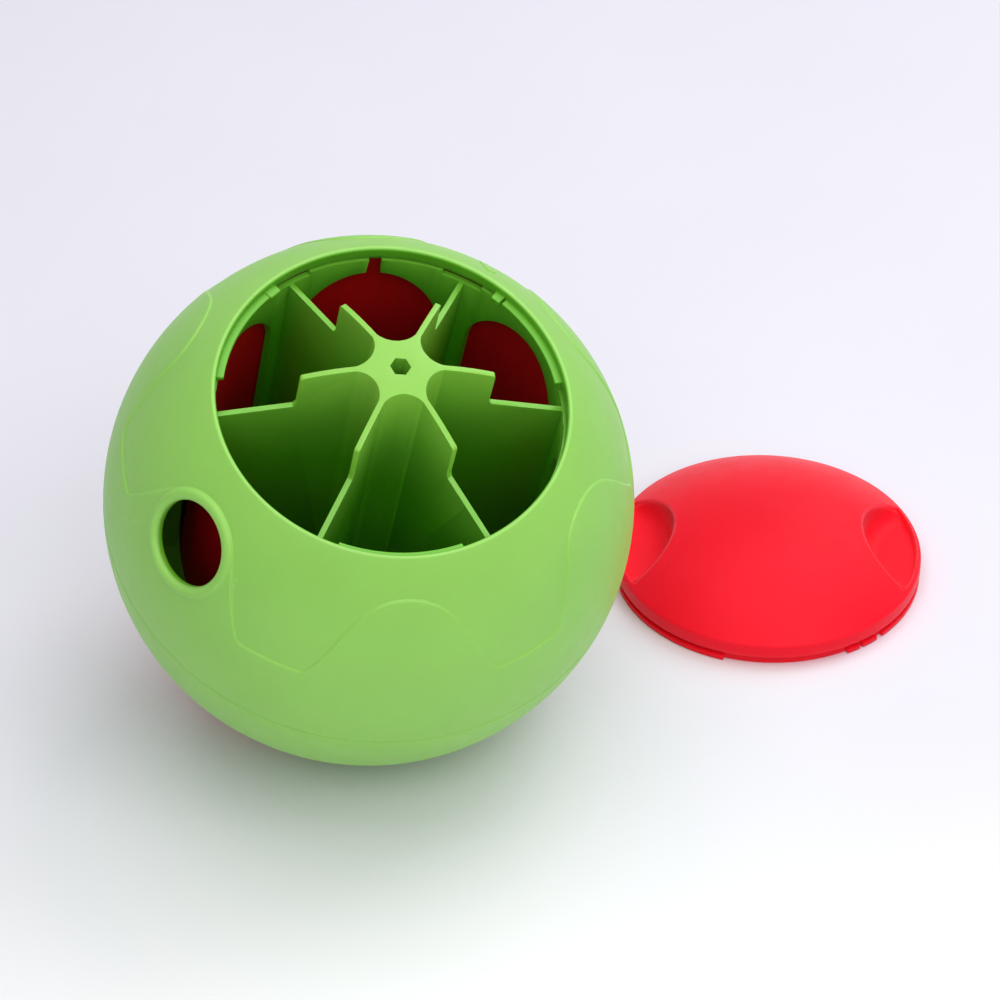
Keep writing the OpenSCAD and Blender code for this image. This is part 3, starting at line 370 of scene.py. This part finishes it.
def arc_bar(r_in, r_out, z0, z1, az0, az1, edge, n):
    """Verts and faces of a bar bent round Z, with rounded long edges and rounded ends."""
    low, high = z0 + edge, z1 - edge
    ring = ([(r_in, low), (r_in, high)] + arc(r_in + edge, high, edge, 180, 90, 5)[1:]
            + arc(r_out - edge, high, edge, 90, 0, 5) + arc(r_out - edge, low, edge, 0, -90, 5)
            + arc(r_in + edge, low, edge, -90, -180, 5)[:-1])
    cr, cz = (r_in + r_out) / 2, (z0 + z1) / 2
    half_deg = math.degrees(edge / r_in)
    end = [(half_deg * (1 - math.cos(t)), 1 - (edge / (z1 - z0)) * 2 * (1 - math.sin(t)))
           for t in np.linspace(0, math.pi / 2, 4)]
    stations = [(az0 + a, s) for a, s in end]
    stations += [(a, 1) for a in np.linspace(az0 + half_deg, az1 - half_deg, n)[1:-1]]
    stations += [(az1 - a, s) for a, s in end[::-1]]
    verts, k = [], len(ring)
    for a, s in stations:
        for r, z in ring:
            q = cr + (r - cr) * s
            w = cz + (z - cz) * s
            verts.append((q * math.cos(math.radians(a)), q * math.sin(math.radians(a)), w))
    faces = [[s * k + j, (s + 1) * k + j, (s + 1) * k + (j + 1) % k, s * k + (j + 1) % k]
             for s in range(len(stations) - 1) for j in range(k)]
    faces.append(list(range(k)))
    faces.append([(len(stations) - 1) * k + j for j in range(k - 1, -1, -1)])
    return verts, faces


def ease(t):
    t = np.clip(t, 0, 1)
    return t * t * (3 - 2 * t)


class Parts:
    """Collects verts and faces of a piece that is made of several shapes."""

    def __init__(self):
        self.verts, self.faces = [], []

    def add(self, verts, faces):
        base = len(self.verts)
        self.verts += [tuple(map(float, v)) for v in verts]
        self.faces += [[int(i) + base for i in f] for f in faces]
        return base


# ---- upper shell: wave step, exit collar, mouth rim and lid rails ----
fine_az = np.linspace(-180, 180, WAVE_SAMPLES, endpoint=False)
share = np.abs((((fine_az - EXIT_AZ) / WAVE_PITCH + 0.5) % 1) - 0.5) * 2
wave_table = TROUGH_LAT + (CREST_LAT - TROUGH_LAT) * np.interp(share, *np.array(WAVE).T)
kernel = np.exp(-0.5 * (np.arange(-WAVE_REACH, WAVE_REACH + 1) / WAVE_SOFT) ** 2)
wave_table = np.convolve(np.r_[wave_table[-WAVE_REACH:], wave_table, wave_table[:WAVE_REACH]],
                         kernel / kernel.sum(), "valid")
slope_table = np.gradient(wave_table, fine_az)


def wrap(az):
    return (np.asarray(az) + 180) % 360 - 180


def wave_lat(az):
    """Latitude of the wave step's middle."""
    return np.interp(wrap(az), fine_az, wave_table)


def wave_slope(az):
    return np.interp(wrap(az), fine_az, slope_table) / np.cos(np.radians(wave_lat(az)))


def step_radius(t):
    """Radius of the skin at a share t of the way across the wave step."""
    return SKIN_R - (SKIN_R - CROWN_R) * ease(t)


def outer_radius(az, lat):
    away = np.radians(lat - wave_lat(az)) * BALL_R / np.sqrt(1 + wave_slope(az) ** 2)
    return step_radius(away / STEP_W + 0.5)


def on_sphere(r, az, lat):
    az, lat = np.radians(az), np.radians(lat)
    return np.stack([r * np.cos(lat) * np.cos(az), r * np.cos(lat) * np.sin(az),
                     r * np.sin(lat) + 0 * az], -1)


COLS = 720
col_az = np.arange(COLS) * 360 / COLS - 180
half_step = np.degrees(STEP_W / 2 * np.sqrt(1 + wave_slope(col_az) ** 2) / BALL_R)
wave_here = wave_lat(col_az)
mid_r = MOUTH_R + RIM_ROUND
mid_z = math.sqrt((CROWN_R - RIM_ROUND) ** 2 - mid_r ** 2)
rim_lat = math.degrees(math.atan2(mid_z, mid_r))
joint_lat = math.degrees(math.asin(JOINT_EDGE_Z / BALL_R))
collar_out = MOUTH_R + COLLAR_T + LIP_T
collar_z = math.sqrt(INNER_R ** 2 - collar_out ** 2)
lip_in = collar_out - LIP_WALL
COLLAR = ((MOUTH_R, 54.5), (MOUTH_R, 53.3), (MOUTH_R, 52.44), (48.09, 52.23), (48.3, RAIL_BOTTOM),
          (lip_in - COLLAR_ROUND, RAIL_BOTTOM), (lip_in, RAIL_BOTTOM - COLLAR_ROUND),
          (lip_in, LIP_TOP), (lip_in, LIP_BOTTOM + LIP_ROUND), (lip_in + LIP_ROUND, LIP_BOTTOM),
          (collar_out - COLLAR_ROUND, LIP_BOTTOM), (collar_out, LIP_BOTTOM + COLLAR_ROUND),
          (collar_out, COLLAR_FOOT))


def ring_row(r, z):
    return on_sphere(math.hypot(r, z), col_az, math.degrees(math.atan2(z, r)))


# Rows of the shell, from the joint up the outside, over the rim and down the inside
rows = [ring_row(r, z) for r, z in JOINT_ROUND]
outer_first = len(rows)
for t in np.linspace(0, 1, 56):
    rows.append(on_sphere(SKIN_R, col_az, joint_lat + (wave_here - half_step - joint_lat) * t))
for s in np.linspace(-1, 1, 9)[1:-1]:
    rows.append(on_sphere(step_radius((s + 1) / 2), col_az, wave_here + half_step * s))
for t in np.linspace(0, 1, 40):
    lat = wave_here + half_step + (rim_lat - wave_here - half_step) * t
    rows.append(on_sphere(CROWN_R, col_az, lat))
outer_last = len(rows) - 1
for r, z in (*arc(mid_r, mid_z, RIM_ROUND, rim_lat, 180, 10)[1:], *COLLAR):
    rows.append(ring_row(r, z))
inner_first = len(rows)
for lat in np.linspace(math.degrees(math.asin(collar_z / INNER_R)),
                       math.degrees(math.asin(JOINT_Z / INNER_R)), 50):
    rows.append(on_sphere(INNER_R, col_az, np.full(COLS, lat)))
shell = np.stack(rows)
faces = grid_faces(len(rows), COLS, wrap_rows=True)

# The hole's own axes, and the column of the grid that runs through it
axis = on_sphere(1, EXIT_AZ, EXIT_LAT)
side = np.array([-math.sin(math.radians(EXIT_AZ)), math.cos(math.radians(EXIT_AZ)), 0])
above = np.cross(axis, side)
centre_col = int(np.argmin(np.abs(wrap(col_az - EXIT_AZ))))


def row_near(lat, first, last):
    column = shell[first:last + 1, centre_col]
    lats = np.degrees(np.arcsin(column[:, 2] / np.linalg.norm(column, axis=1)))
    return first + int(np.argmin(np.abs(lats - lat)))


def cut_block(lat0, lat1, half_width, first, last):
    """Takes a block of faces round the hole out of the grid, and gives the indices round it."""
    i0, i1 = row_near(lat0, first, last), row_near(lat1, first, last)
    reach = int(half_width * COLS / 360)
    j0, j1 = centre_col - reach, centre_col + reach
    keep[i0:i1, j0:j1] = False
    loop = [(i0, j) for j in range(j0, j1)] + [(i, j1) for i in range(i0, i1)]
    loop += [(i1, j) for j in range(j1, j0, -1)] + [(i, j0) for i in range(i1, i0, -1)]
    return loop


piece = Parts()
keep = np.ones(faces.shape[:2], bool)
outer_loop = cut_block(13, 44.5, 18.5, outer_first, outer_last)
inner_loop = cut_block(42, 16, 16, inner_first, len(rows) - 1)
piece.add(shell.reshape(-1, 3), faces[keep])


def polar(loop):
    """Distance of a loop's points from the hole's axis, and their direction round it."""
    points = np.array([shell[i, j] for i, j in loop])
    x, y = points @ side, points @ above
    return np.hypot(x, y), np.arctan2(y, x)


def hole_point(rho, phi, z):
    return (z[:, None] * axis + (rho * np.cos(phi))[:, None] * side
            + (rho * np.sin(phi))[:, None] * above)


def hole_ring(rho, phi, z):
    """A round ring at one distance from the hole's axis and one height."""
    return hole_point(np.full(len(phi), rho), phi, np.full(len(phi), z))


def skin_height(rho, phi):
    """Height of the stepped surface along the hole's axis."""
    d = hole_point(rho, phi, np.sqrt(BALL_R ** 2 - rho ** 2))
    az = np.degrees(np.arctan2(d[:, 1], d[:, 0]))
    lat = np.degrees(np.arcsin(d[:, 2] / BALL_R))
    return np.sqrt(outer_radius(az, lat) ** 2 - rho ** 2)


def collar_height(rho, phi):
    """The surface, blended into the torus of the ring round the hole."""
    a = skin_height(rho, phi)
    torus = np.sqrt(np.clip(RING_R ** 2 - (rho - RING_AT) ** 2, 0, None))
    b = RING_Z + torus - 3 * np.clip(rho - RING_AT - RING_R, 0, None)
    soft = np.clip(RING_BLEND - np.abs(a - b), 0, None) ** 2 / (4 * RING_BLEND)
    return np.maximum(a, b) + soft


def patch(loop, rings):
    """Faces from a block's edge to the hole: each ring has one point per point of the loop."""
    k = len(loop)
    previous = [i * COLS + j for i, j in loop]
    base = len(piece.verts)
    for ring in rings:
        piece.verts += [tuple(map(float, p)) for p in ring]
    for r in range(len(rings)):
        here = [base + r * k + j for j in range(k)]
        for j in range(k):
            piece.faces.append([previous[j], previous[(j + 1) % k], here[(j + 1) % k], here[j]])
        previous = here


# Outside: from the block to the ring's blend, up the ring and over it into the hole
rho0, phi = polar(outer_loop)
reaches = [rho0 + (OUTER_EDGE - rho0) * t for t in np.linspace(0, 1, 46)[1:]]
reaches += [np.full(len(phi), rho) for rho in np.linspace(OUTER_EDGE, RING_AT, 18)[1:]]
rings = [hole_point(rho, phi, collar_height(rho, phi)) for rho in reaches]
for t in np.linspace(0, math.pi / 2, 9)[1:]:
    rings.append(hole_ring(RING_AT - (RING_AT - EXIT_R) * math.sin(t), phi,
                           RING_Z + RING_R - RING_DROP * (1 - math.cos(t))))
for rho, z in ((EXIT_R, 72.6), (EXIT_R, 71.9), (EXIT_R + 0.08, 71.68),
               (EXIT_R + EXIT_CHAMFER, math.sqrt(INNER_R ** 2 - 11.5 ** 2))):
    rings.append(hole_ring(rho, phi, z))
patch(outer_loop, rings)

# Inside: from the block to the hole's chamfer
rho0, phi = polar(inner_loop)
reaches = [rho0 + (EXIT_R + EXIT_CHAMFER - rho0) * t for t in np.linspace(0, 1, 14)[1:]]
patch(inner_loop, [hole_point(rho, phi, np.sqrt(INNER_R ** 2 - rho ** 2)) for rho in reaches])

# Ledges: the first ends in a stop block and the second starts with one, both higher than the ledge
for k in range(3):
    az = RAIL_AZ + 120 * k
    start, end = az - RAIL_ARC / 2, az + RAIL_ARC / 2
    if k == 0:
        piece.add(*arc_bar(RAIL_R - 0.6, MOUTH_R + RAIL_SINK, RAIL_BOTTOM, RAIL_TOP + STOP_RISE,
                           end - STOP_ARC, end - 1.4, 0.35, 10))
        end -= STOP_ARC + 0.7
    if k == 1:
        piece.add(*arc_bar(RAIL_R - 0.5, MOUTH_R + RAIL_SINK, RAIL_BOTTOM, RAIL_TOP + STOP_RISE,
                           start, start + STOP_ARC, 0.45, 10))
        start += STOP_ARC - 1
    piece.add(*arc_bar(RAIL_R, MOUTH_R + RAIL_SINK, RAIL_BOTTOM, RAIL_TOP, start, end,
                       RAIL_EDGE, 60))

upper_shell = make("shell_skin", piece.verts, piece.faces, BALL, "ball", "shell_green",
                   "upper_shell")
upper_shell.data.materials[0] = painted_edge_green

# Guide rib inside the shell
bm = bmesh.new()
rib_top = INNER_R * 0.4
outline = [(RIB_IN, JOINT_Z), (RIB_IN, rib_top)]
outline += [(math.sqrt((INNER_R + RIB_SINK) ** 2 - z * z), z)
            for z in np.linspace(rib_top, JOINT_Z, 16)]
left = [bm.verts.new((x, -RIB_T / 2, z)) for x, z in outline]
right = [bm.verts.new((x, RIB_T / 2, z)) for x, z in outline]
bm.faces.new(left)
bm.faces.new(right[::-1])
for a in range(len(outline)):
    b = (a + 1) % len(outline)
    bm.faces.new([left[b], left[a], right[a], right[b]])
bmesh.ops.recalc_face_normals(bm, faces=bm.faces)
front = [e for e in bm.edges
         if min(v.co.x for v in e.verts) == max(v.co.x for v in e.verts) == RIB_IN
         or (e.verts[0].co.z == e.verts[1].co.z == rib_top)]
bmesh.ops.bevel(bm, geom=front, offset=RIB_ROUND, segments=4, affect="EDGES", profile=0.5)
me = bpy.data.meshes.new("guide_rib")
bm.to_mesh(me)
bm.free()
me.transform(BALL @ Matrix.Rotation(math.radians(RIB_AZ), 4, "Z"))
me.materials.append(M["shell_green"])
rib = add_object("guide_rib", me)
rib.parent = upper_shell

# Direction mark beside the mouth: two raised strokes, each from (azimuth, latitude) to the next
MARK = (((64.7, 38.5), (61.0, 43.4)), ((60.5, 44.2), (58.4, 43.1)))
MARK_SECTION = [(-0.34, -0.4), (0.34, -0.4)] + arc(0, 0.02, 0.32, 0, 180, 9)
piece = Parts()
for ends in MARK:
    a, b = (on_sphere(CROWN_R, *e) for e in ends)
    along = (b - a) / np.linalg.norm(b - a)
    rise = (a + b) / np.linalg.norm(a + b)
    across = np.cross(rise, along)
    reach = np.linalg.norm(b - a)
    stations = ((-0.25, 0.35), (-0.12, 0.8), (0.05, 1),
                *((q, 1) for q in np.linspace(0.3, reach - 0.3, 8)),
                (reach - 0.05, 1), (reach + 0.12, 0.8), (reach + 0.25, 0.35))
    ring = []
    for t, wide in stations:
        p = a + along * t
        p = p * CROWN_R / np.linalg.norm(p)
        ring += [p + across * x * wide + rise * (y * (wide if y > 0 else 1))
                 for x, y in MARK_SECTION]
    piece.add(ring, tube_faces(len(stations), len(MARK_SECTION)))
make("direction_mark", piece.verts, piece.faces, BALL, "ball", "shell_green")


# ---- timer scale on the base cap, round the dial ----
DIAL_AT, SCALE_R = 24, 14.6
DIGIT_W, DIGIT_H = 1.4, 1.4
STROKE_H, STROKE_SINK, STROKE_ROUND, STROKE_INSET = 0.4, 0.3, 0.08, 0.06
DIGITS = {"0": ((0, 0, 1, 0), (1, 0, 1, 2), (1, 2, 0, 2), (0, 2, 0, 0)), "1": ((0.5, 0, 0.5, 2),),
          "3": ((0, 2, 1, 2), (1, 2, 1, 0), (1, 0, 0, 0), (0.3, 1, 1, 1)),
          "5": ((1, 2, 0, 2), (0, 2, 0, 1), (0, 1, 1, 1), (1, 1, 1, 0), (1, 0, 0, 0)),
          "6": ((1, 2, 0, 2), (0, 2, 0, 0), (0, 0, 1, 0), (1, 0, 1, 1), (1, 1, 0, 1)),
          "9": ((1, 1, 0, 1), (0, 1, 0, 2), (0, 2, 1, 2), (1, 2, 1, 0), (1, 0, 0, 0))}
SCALE = {0: "0", 40: "15", 80: "30", 160: "60", 240: "90"}
tilt = math.asin(DIAL_AT / BALL_R)
DIAL = PACK @ Matrix.Rotation(math.pi, 4, "Z") @ Matrix.Rotation(math.pi - tilt, 4, "Y")
piece = Parts()


def raised(x0, y0, x1, y1, wide):
    """A rounded stroke lying on the cap's sphere, in the dial's own frame."""
    a, b = np.array([x0, y0]), np.array([x1, y1])
    along = (b - a) / max(np.linalg.norm(b - a), 1e-9)
    across = np.array([-along[1], along[0]])
    rim = [a + wide / 2 * (-along * math.cos(t) + across * math.sin(t))
           for t in np.linspace(math.pi / 2, -math.pi / 2, 7)]
    rim += [b + wide / 2 * (along * math.cos(t) + across * math.sin(t))
            for t in np.linspace(-math.pi / 2, math.pi / 2, 7)]
    mid = (a + b) / 2
    verts = []
    for inset, lift in ((0, -STROKE_SINK), (0, STROKE_H - STROKE_ROUND), (STROKE_INSET, STROKE_H)):
        for q in rim:
            q = q - (q - mid) / max(np.linalg.norm(q - mid), 1e-9) * inset
            verts.append((q[0], q[1], math.sqrt(BALL_R ** 2 - q @ q) + lift))
    piece.add(verts, tube_faces(3, len(rim)))


def tick(turn, inner, outer, wide):
    """A stroke across the scale's circle, between two distances from it."""
    t = math.radians(turn)
    r0, r1 = SCALE_R + inner, SCALE_R + outer
    raised(r0 * math.cos(t), r0 * math.sin(t), r1 * math.cos(t), r1 * math.sin(t), wide)


for turn, label in SCALE.items():
    tick(turn, -0.8, 0.6, 0.6)
    t = math.radians(turn)
    cx, cy = (SCALE_R + 3.1) * math.cos(t), (SCALE_R + 3.1) * math.sin(t)
    for i, d in enumerate(label):
        dx = (i - (len(label) - 1) / 2) * (DIGIT_W + 1)
        for x0, y0, x1, y1 in DIGITS[d]:
            raised(cx + dx + (x0 - 0.5) * DIGIT_W, cy + (y0 - 1) * DIGIT_H,
                   cx + dx + (x1 - 0.5) * DIGIT_W, cy + (y1 - 1) * DIGIT_H, 0.55)
for turn in range(10, 240, 10):
    if turn not in SCALE:
        tick(turn, -0.9, -0.4, 0.36)
make("timer_scale", piece.verts, piece.faces, DIAL, "ball", "cap_red", flat=True)


# ---- lid ----
def scoop_depth(x, y):
    """How far a point lies inside the nearer finger scoop's edge."""
    return SCOOP_R - np.hypot(np.abs(x) - SCOOP_AT, y)


def lid_surface(x, y):
    """Height of the lid's top: the dome with its two finger scoops and the ring outside them."""
    rho = np.hypot(x, y)
    dome = np.sqrt(CROWN_R ** 2 - rho ** 2) - DOME_DROP * (1 - (rho / LID_R) ** 2)
    inside = scoop_depth(x, y)
    fall = SCOOP_LIP - np.sqrt(SCOOP_LIP ** 2 - np.clip(SCOOP_LIP + inside, 0, SCOOP_LIP) ** 2)
    lip = dome - fall
    d = np.clip(inside - SCOOP_DRAFT, 0, SCOOP_FOOT)
    wall = (SCOOP_FLOOR + SCOOP_FOOT - np.sqrt(SCOOP_FOOT ** 2 - (SCOOP_FOOT - d) ** 2)
            + 60 * np.clip(SCOOP_DRAFT - inside, 0, None))
    soft = np.clip(SCOOP_BLEND - np.abs(lip - wall), 0, None) ** 2 / (4 * SCOOP_BLEND)
    low = np.minimum(lip, wall) - soft
    ring = ease((rho - LID_RING_R) / LID_RING_W)
    return low * (1 - ring) + dome * ring


SPOKES = 600
PLAN_R = 44.3
rim_mid_r = LID_R - LID_RIM_ROUND
rim_mid_z = math.sqrt((CROWN_R - LID_RIM_ROUND) ** 2 - rim_mid_r ** 2)
rim_angle = math.degrees(math.atan2(rim_mid_z, rim_mid_r))
top_r = rim_mid_r + LID_RIM_ROUND * math.cos(math.radians(rim_angle))
spoke_turns = np.arange(SPOKES) * 2 * np.pi / SPOKES

# Points of the top: circles at the ring, rings that follow the scoops' edges, and a fill between
RING_CIRCLES = (44.6, 45.0, 45.15, 45.25, 45.33, 45.4, 45.47, 45.55, 45.65, 45.9, 46.4, top_r)
SCOOP_RINGS = (-2.1, -1.5, -1.1, -0.95, -0.8, -0.62, -0.42, -0.24, -0.1, -0.03, 0.03, 0.15, 0.3,
               0.5, 0.8, 1.2, 1.7, 2.4, 3.2, 4.1, 5.1, 6.2)
points = [circle(r, spoke_turns) for r in RING_CIRCLES]
for sign in (1, -1):
    for inside in SCOOP_RINGS:
        r = SCOOP_R - inside
        th = np.linspace(-math.pi / 2, math.pi / 2, int(math.pi * r / 0.5))
        p = np.stack([sign * (SCOOP_AT - r * np.cos(th)), r * np.sin(th)], -1)
        points.append(p[np.hypot(*p.T) < PLAN_R])
for r in np.arange(0, PLAN_R, 1.3):
    n = max(1, int(2 * math.pi * r / 1.4))
    p = circle(r, np.arange(n) * 2 * np.pi / n + r)
    inside = scoop_depth(*p.T)
    points.append(p[(inside < -2.9) | (inside > 7)])
plan = np.concatenate(points)
flat, _, tris, _, _, _ = delaunay_2d_cdt([Vector(p) for p in plan], [], [], 0, 1e-6, False)
flat = np.array([tuple(p) for p in flat])
piece = Parts()
piece.add(np.c_[flat, lid_surface(*flat.T)], tris)

# Rim, flange and skirt: one profile turned about the lid's axis
UNDER_R, UNDER_Z = SKIRT_IN - 1.2, 55.2
flange_z, skirt_z = FLANGE_BOTTOM + LID_FOOT_ROUND, LID_BOTTOM + SKIRT_ROUND
profile = arc(rim_mid_r, rim_mid_z, LID_RIM_ROUND, rim_angle, 0, 8)
profile += [(LID_R, 55.5), (LID_R, flange_z)]
profile += arc(LID_R - LID_FOOT_ROUND, flange_z, LID_FOOT_ROUND, 0, -90, 5)[1:]
profile += [(SKIRT_OUT + 0.25, FLANGE_BOTTOM), (SKIRT_OUT + 0.07, FLANGE_BOTTOM - 0.07),
            (SKIRT_OUT, FLANGE_BOTTOM - 0.25), (SKIRT_OUT, 52), (SKIRT_OUT, skirt_z)]
profile += arc(SKIRT_OUT - SKIRT_ROUND, skirt_z, SKIRT_ROUND, 0, -90, 4)[1:]
profile += arc(SKIRT_IN + SKIRT_ROUND, skirt_z, SKIRT_ROUND, -90, -180, 4)
profile += [(SKIRT_IN, 52), (SKIRT_IN, 54.6), (SKIRT_IN - 0.4, 55.15), (UNDER_R, UNDER_Z)]
piece.add(turned(profile, SPOKES), grid_faces(len(profile), SPOKES).reshape(-1, 4)[:, ::-1])

# Underside: the dome's inner face with the scoops' cups hanging into it
cup_foot = SCOOP_FOOT + LID_T
under = []
for r in np.linspace(UNDER_R, 0.6, 60):
    x, y = circle(r, spoke_turns).T
    inside = SCOOP_R + LID_T - np.hypot(np.abs(x) - SCOOP_AT, y)
    ceiling = np.sqrt((CROWN_R - LID_T) ** 2 - r * r)
    d = np.clip(inside, 0, cup_foot)
    cup = (SCOOP_FLOOR - LID_T + cup_foot - np.sqrt(cup_foot ** 2 - (cup_foot - d) ** 2)
           + 30 * np.clip(-inside, 0, None))
    under.append(np.stack([x, y, np.minimum(ceiling, cup)], -1))
under[0][:, 2] = UNDER_Z
base = piece.add(np.concatenate(under), grid_faces(len(under), SPOKES).reshape(-1, 4)[:, ::-1])
piece.faces.append([base + (len(under) - 1) * SPOKES + j for j in range(SPOKES - 1, -1, -1)])

for k in range(3):
    az = LUG_AZ + 120 * k
    bars = [(az - LUG_ARC / 2 - LUG_LEAD, az + LUG_ARC / 2, 50)]
    bars += [(az + at - wide / 2, az + at + wide / 2, 10) for at, wide in TEETH]
    for start, end, count in bars:
        piece.add(*arc_bar(SKIRT_OUT - LUG_SINK, LUG_R, LUG_BOTTOM, LUG_TOP, start, end,
                           LUG_EDGE, count))
make("lid_cover", piece.verts, piece.faces, LID, "lid", "lid_red", "lid", merge=0.002)


# ---- softened edges on the moulded nodes that stay ----
for name, width, segments in (("pod_wheel", 0.25, 3), ("drum", 0.2, 2), ("base_cap", 0.25, 2),
                              ("battery_door", 0.25, 2), ("timer_dial", 0.25, 2),
                              ("lower_shell", 0.2, 2)):
    soften(nodes[name], width, segments)


# ---- floor and light ----
FLOOR_SIZE = 6
FLOOR_TONES = ((0.80, 0.785, 0.86), (0.78, 0.77, 0.845))
# The floor turns to a paler tone towards the camera, from y 0.01 m to -0.2 m: painted light that
# lifts the shadow in front of the ball.
PAINTED_LIGHT_TONE, PAINTED_LIGHT_FROM, PAINTED_LIGHT_TO = (0.95, 0.95, 0.955), 0.01, -0.2
bm = bmesh.new()
bmesh.ops.create_grid(bm, x_segments=4, y_segments=4, size=FLOOR_SIZE)
me = bpy.data.meshes.new("floor")
bm.to_mesh(me)
bm.free()
floor = add_object("floor", me)
n = Net("floor")
paper = n.span(n.noise(9, 4), "Fac", 0.3, 0.7, 0, 1)
tone = n.blend(paper, *FLOOR_TONES)
# Painted light: the floor's tone turns paler towards the camera.
where = n.add("ShaderNodeSeparateXYZ")
n.link(n.coord, "Object", where, "Vector")
painted_light = n.add("ShaderNodeMapRange",
             {"From Min": PAINTED_LIGHT_FROM, "From Max": PAINTED_LIGHT_TO, "To Min": 0, "To Max": 1},
             interpolation_type="SMOOTHSTEP")
n.link(where, "Y", painted_light, "Value")
n.link(n.blend(painted_light, tone, PAINTED_LIGHT_TONE), "Result", n.bsdf, "Base Color")
n.bsdf.inputs["Roughness"].default_value = 0.6
n.bsdf.inputs["Specular IOR Level"].default_value = 0.25
floor.data.materials.append(n.mat)

# The camera and reflections see a bright backdrop, and all else a weaker ambient light.
AMBIENT, BACKDROP = 0.26, 1.0
world = bpy.data.worlds.new("world")
bpy.context.scene.world = world
world.use_nodes = True
wt = world.node_tree
bg = wt.nodes["Background"]
bg.inputs["Color"].default_value = (0.96, 0.955, 1.0, 1)
path = wt.nodes.new("ShaderNodeLightPath")
seen = wt.nodes.new("ShaderNodeMath")
seen.operation = "MAXIMUM"
wt.links.new(path.outputs["Is Camera Ray"], seen.inputs[0])
wt.links.new(path.outputs["Is Glossy Ray"], seen.inputs[1])
level = wt.nodes.new("ShaderNodeMapRange")
level.inputs["To Min"].default_value = AMBIENT
level.inputs["To Max"].default_value = BACKDROP
wt.links.new(seen.outputs[0], level.inputs["Value"])
wt.links.new(level.outputs["Result"], bg.inputs["Strength"])


def lamp(name, place, target, size, power):
    d = bpy.data.lights.new(name, "AREA")
    d.shape = "RECTANGLE"
    d.size, d.size_y = size
    d.energy = power
    o = add_object(name, d)
    o.location = place
    o.rotation_euler = (Vector(target) - Vector(place)).to_track_quat("-Z", "Y").to_euler()


# Name, place and size in metres, and watts
SOFTBOXES = (
    ("overhead", (0.05, 0.05, 1.5), (1.6, 1.4), 11.5),
    ("back_right", (0.7, 0.7, 1.1), (1.0, 1.0), 6.2),
    ("front", (-0.1, -1.1, 1.1), (1.0, 0.8), 5.4),
    ("front_right", (0.75, -0.8, 1.1), (0.9, 0.9), 6.2),
)
LAMP_AIM = (0.05, 0, 0.04)
for name, place, size, power in SOFTBOXES:
    lamp(name, place, LAMP_AIM, size, power)
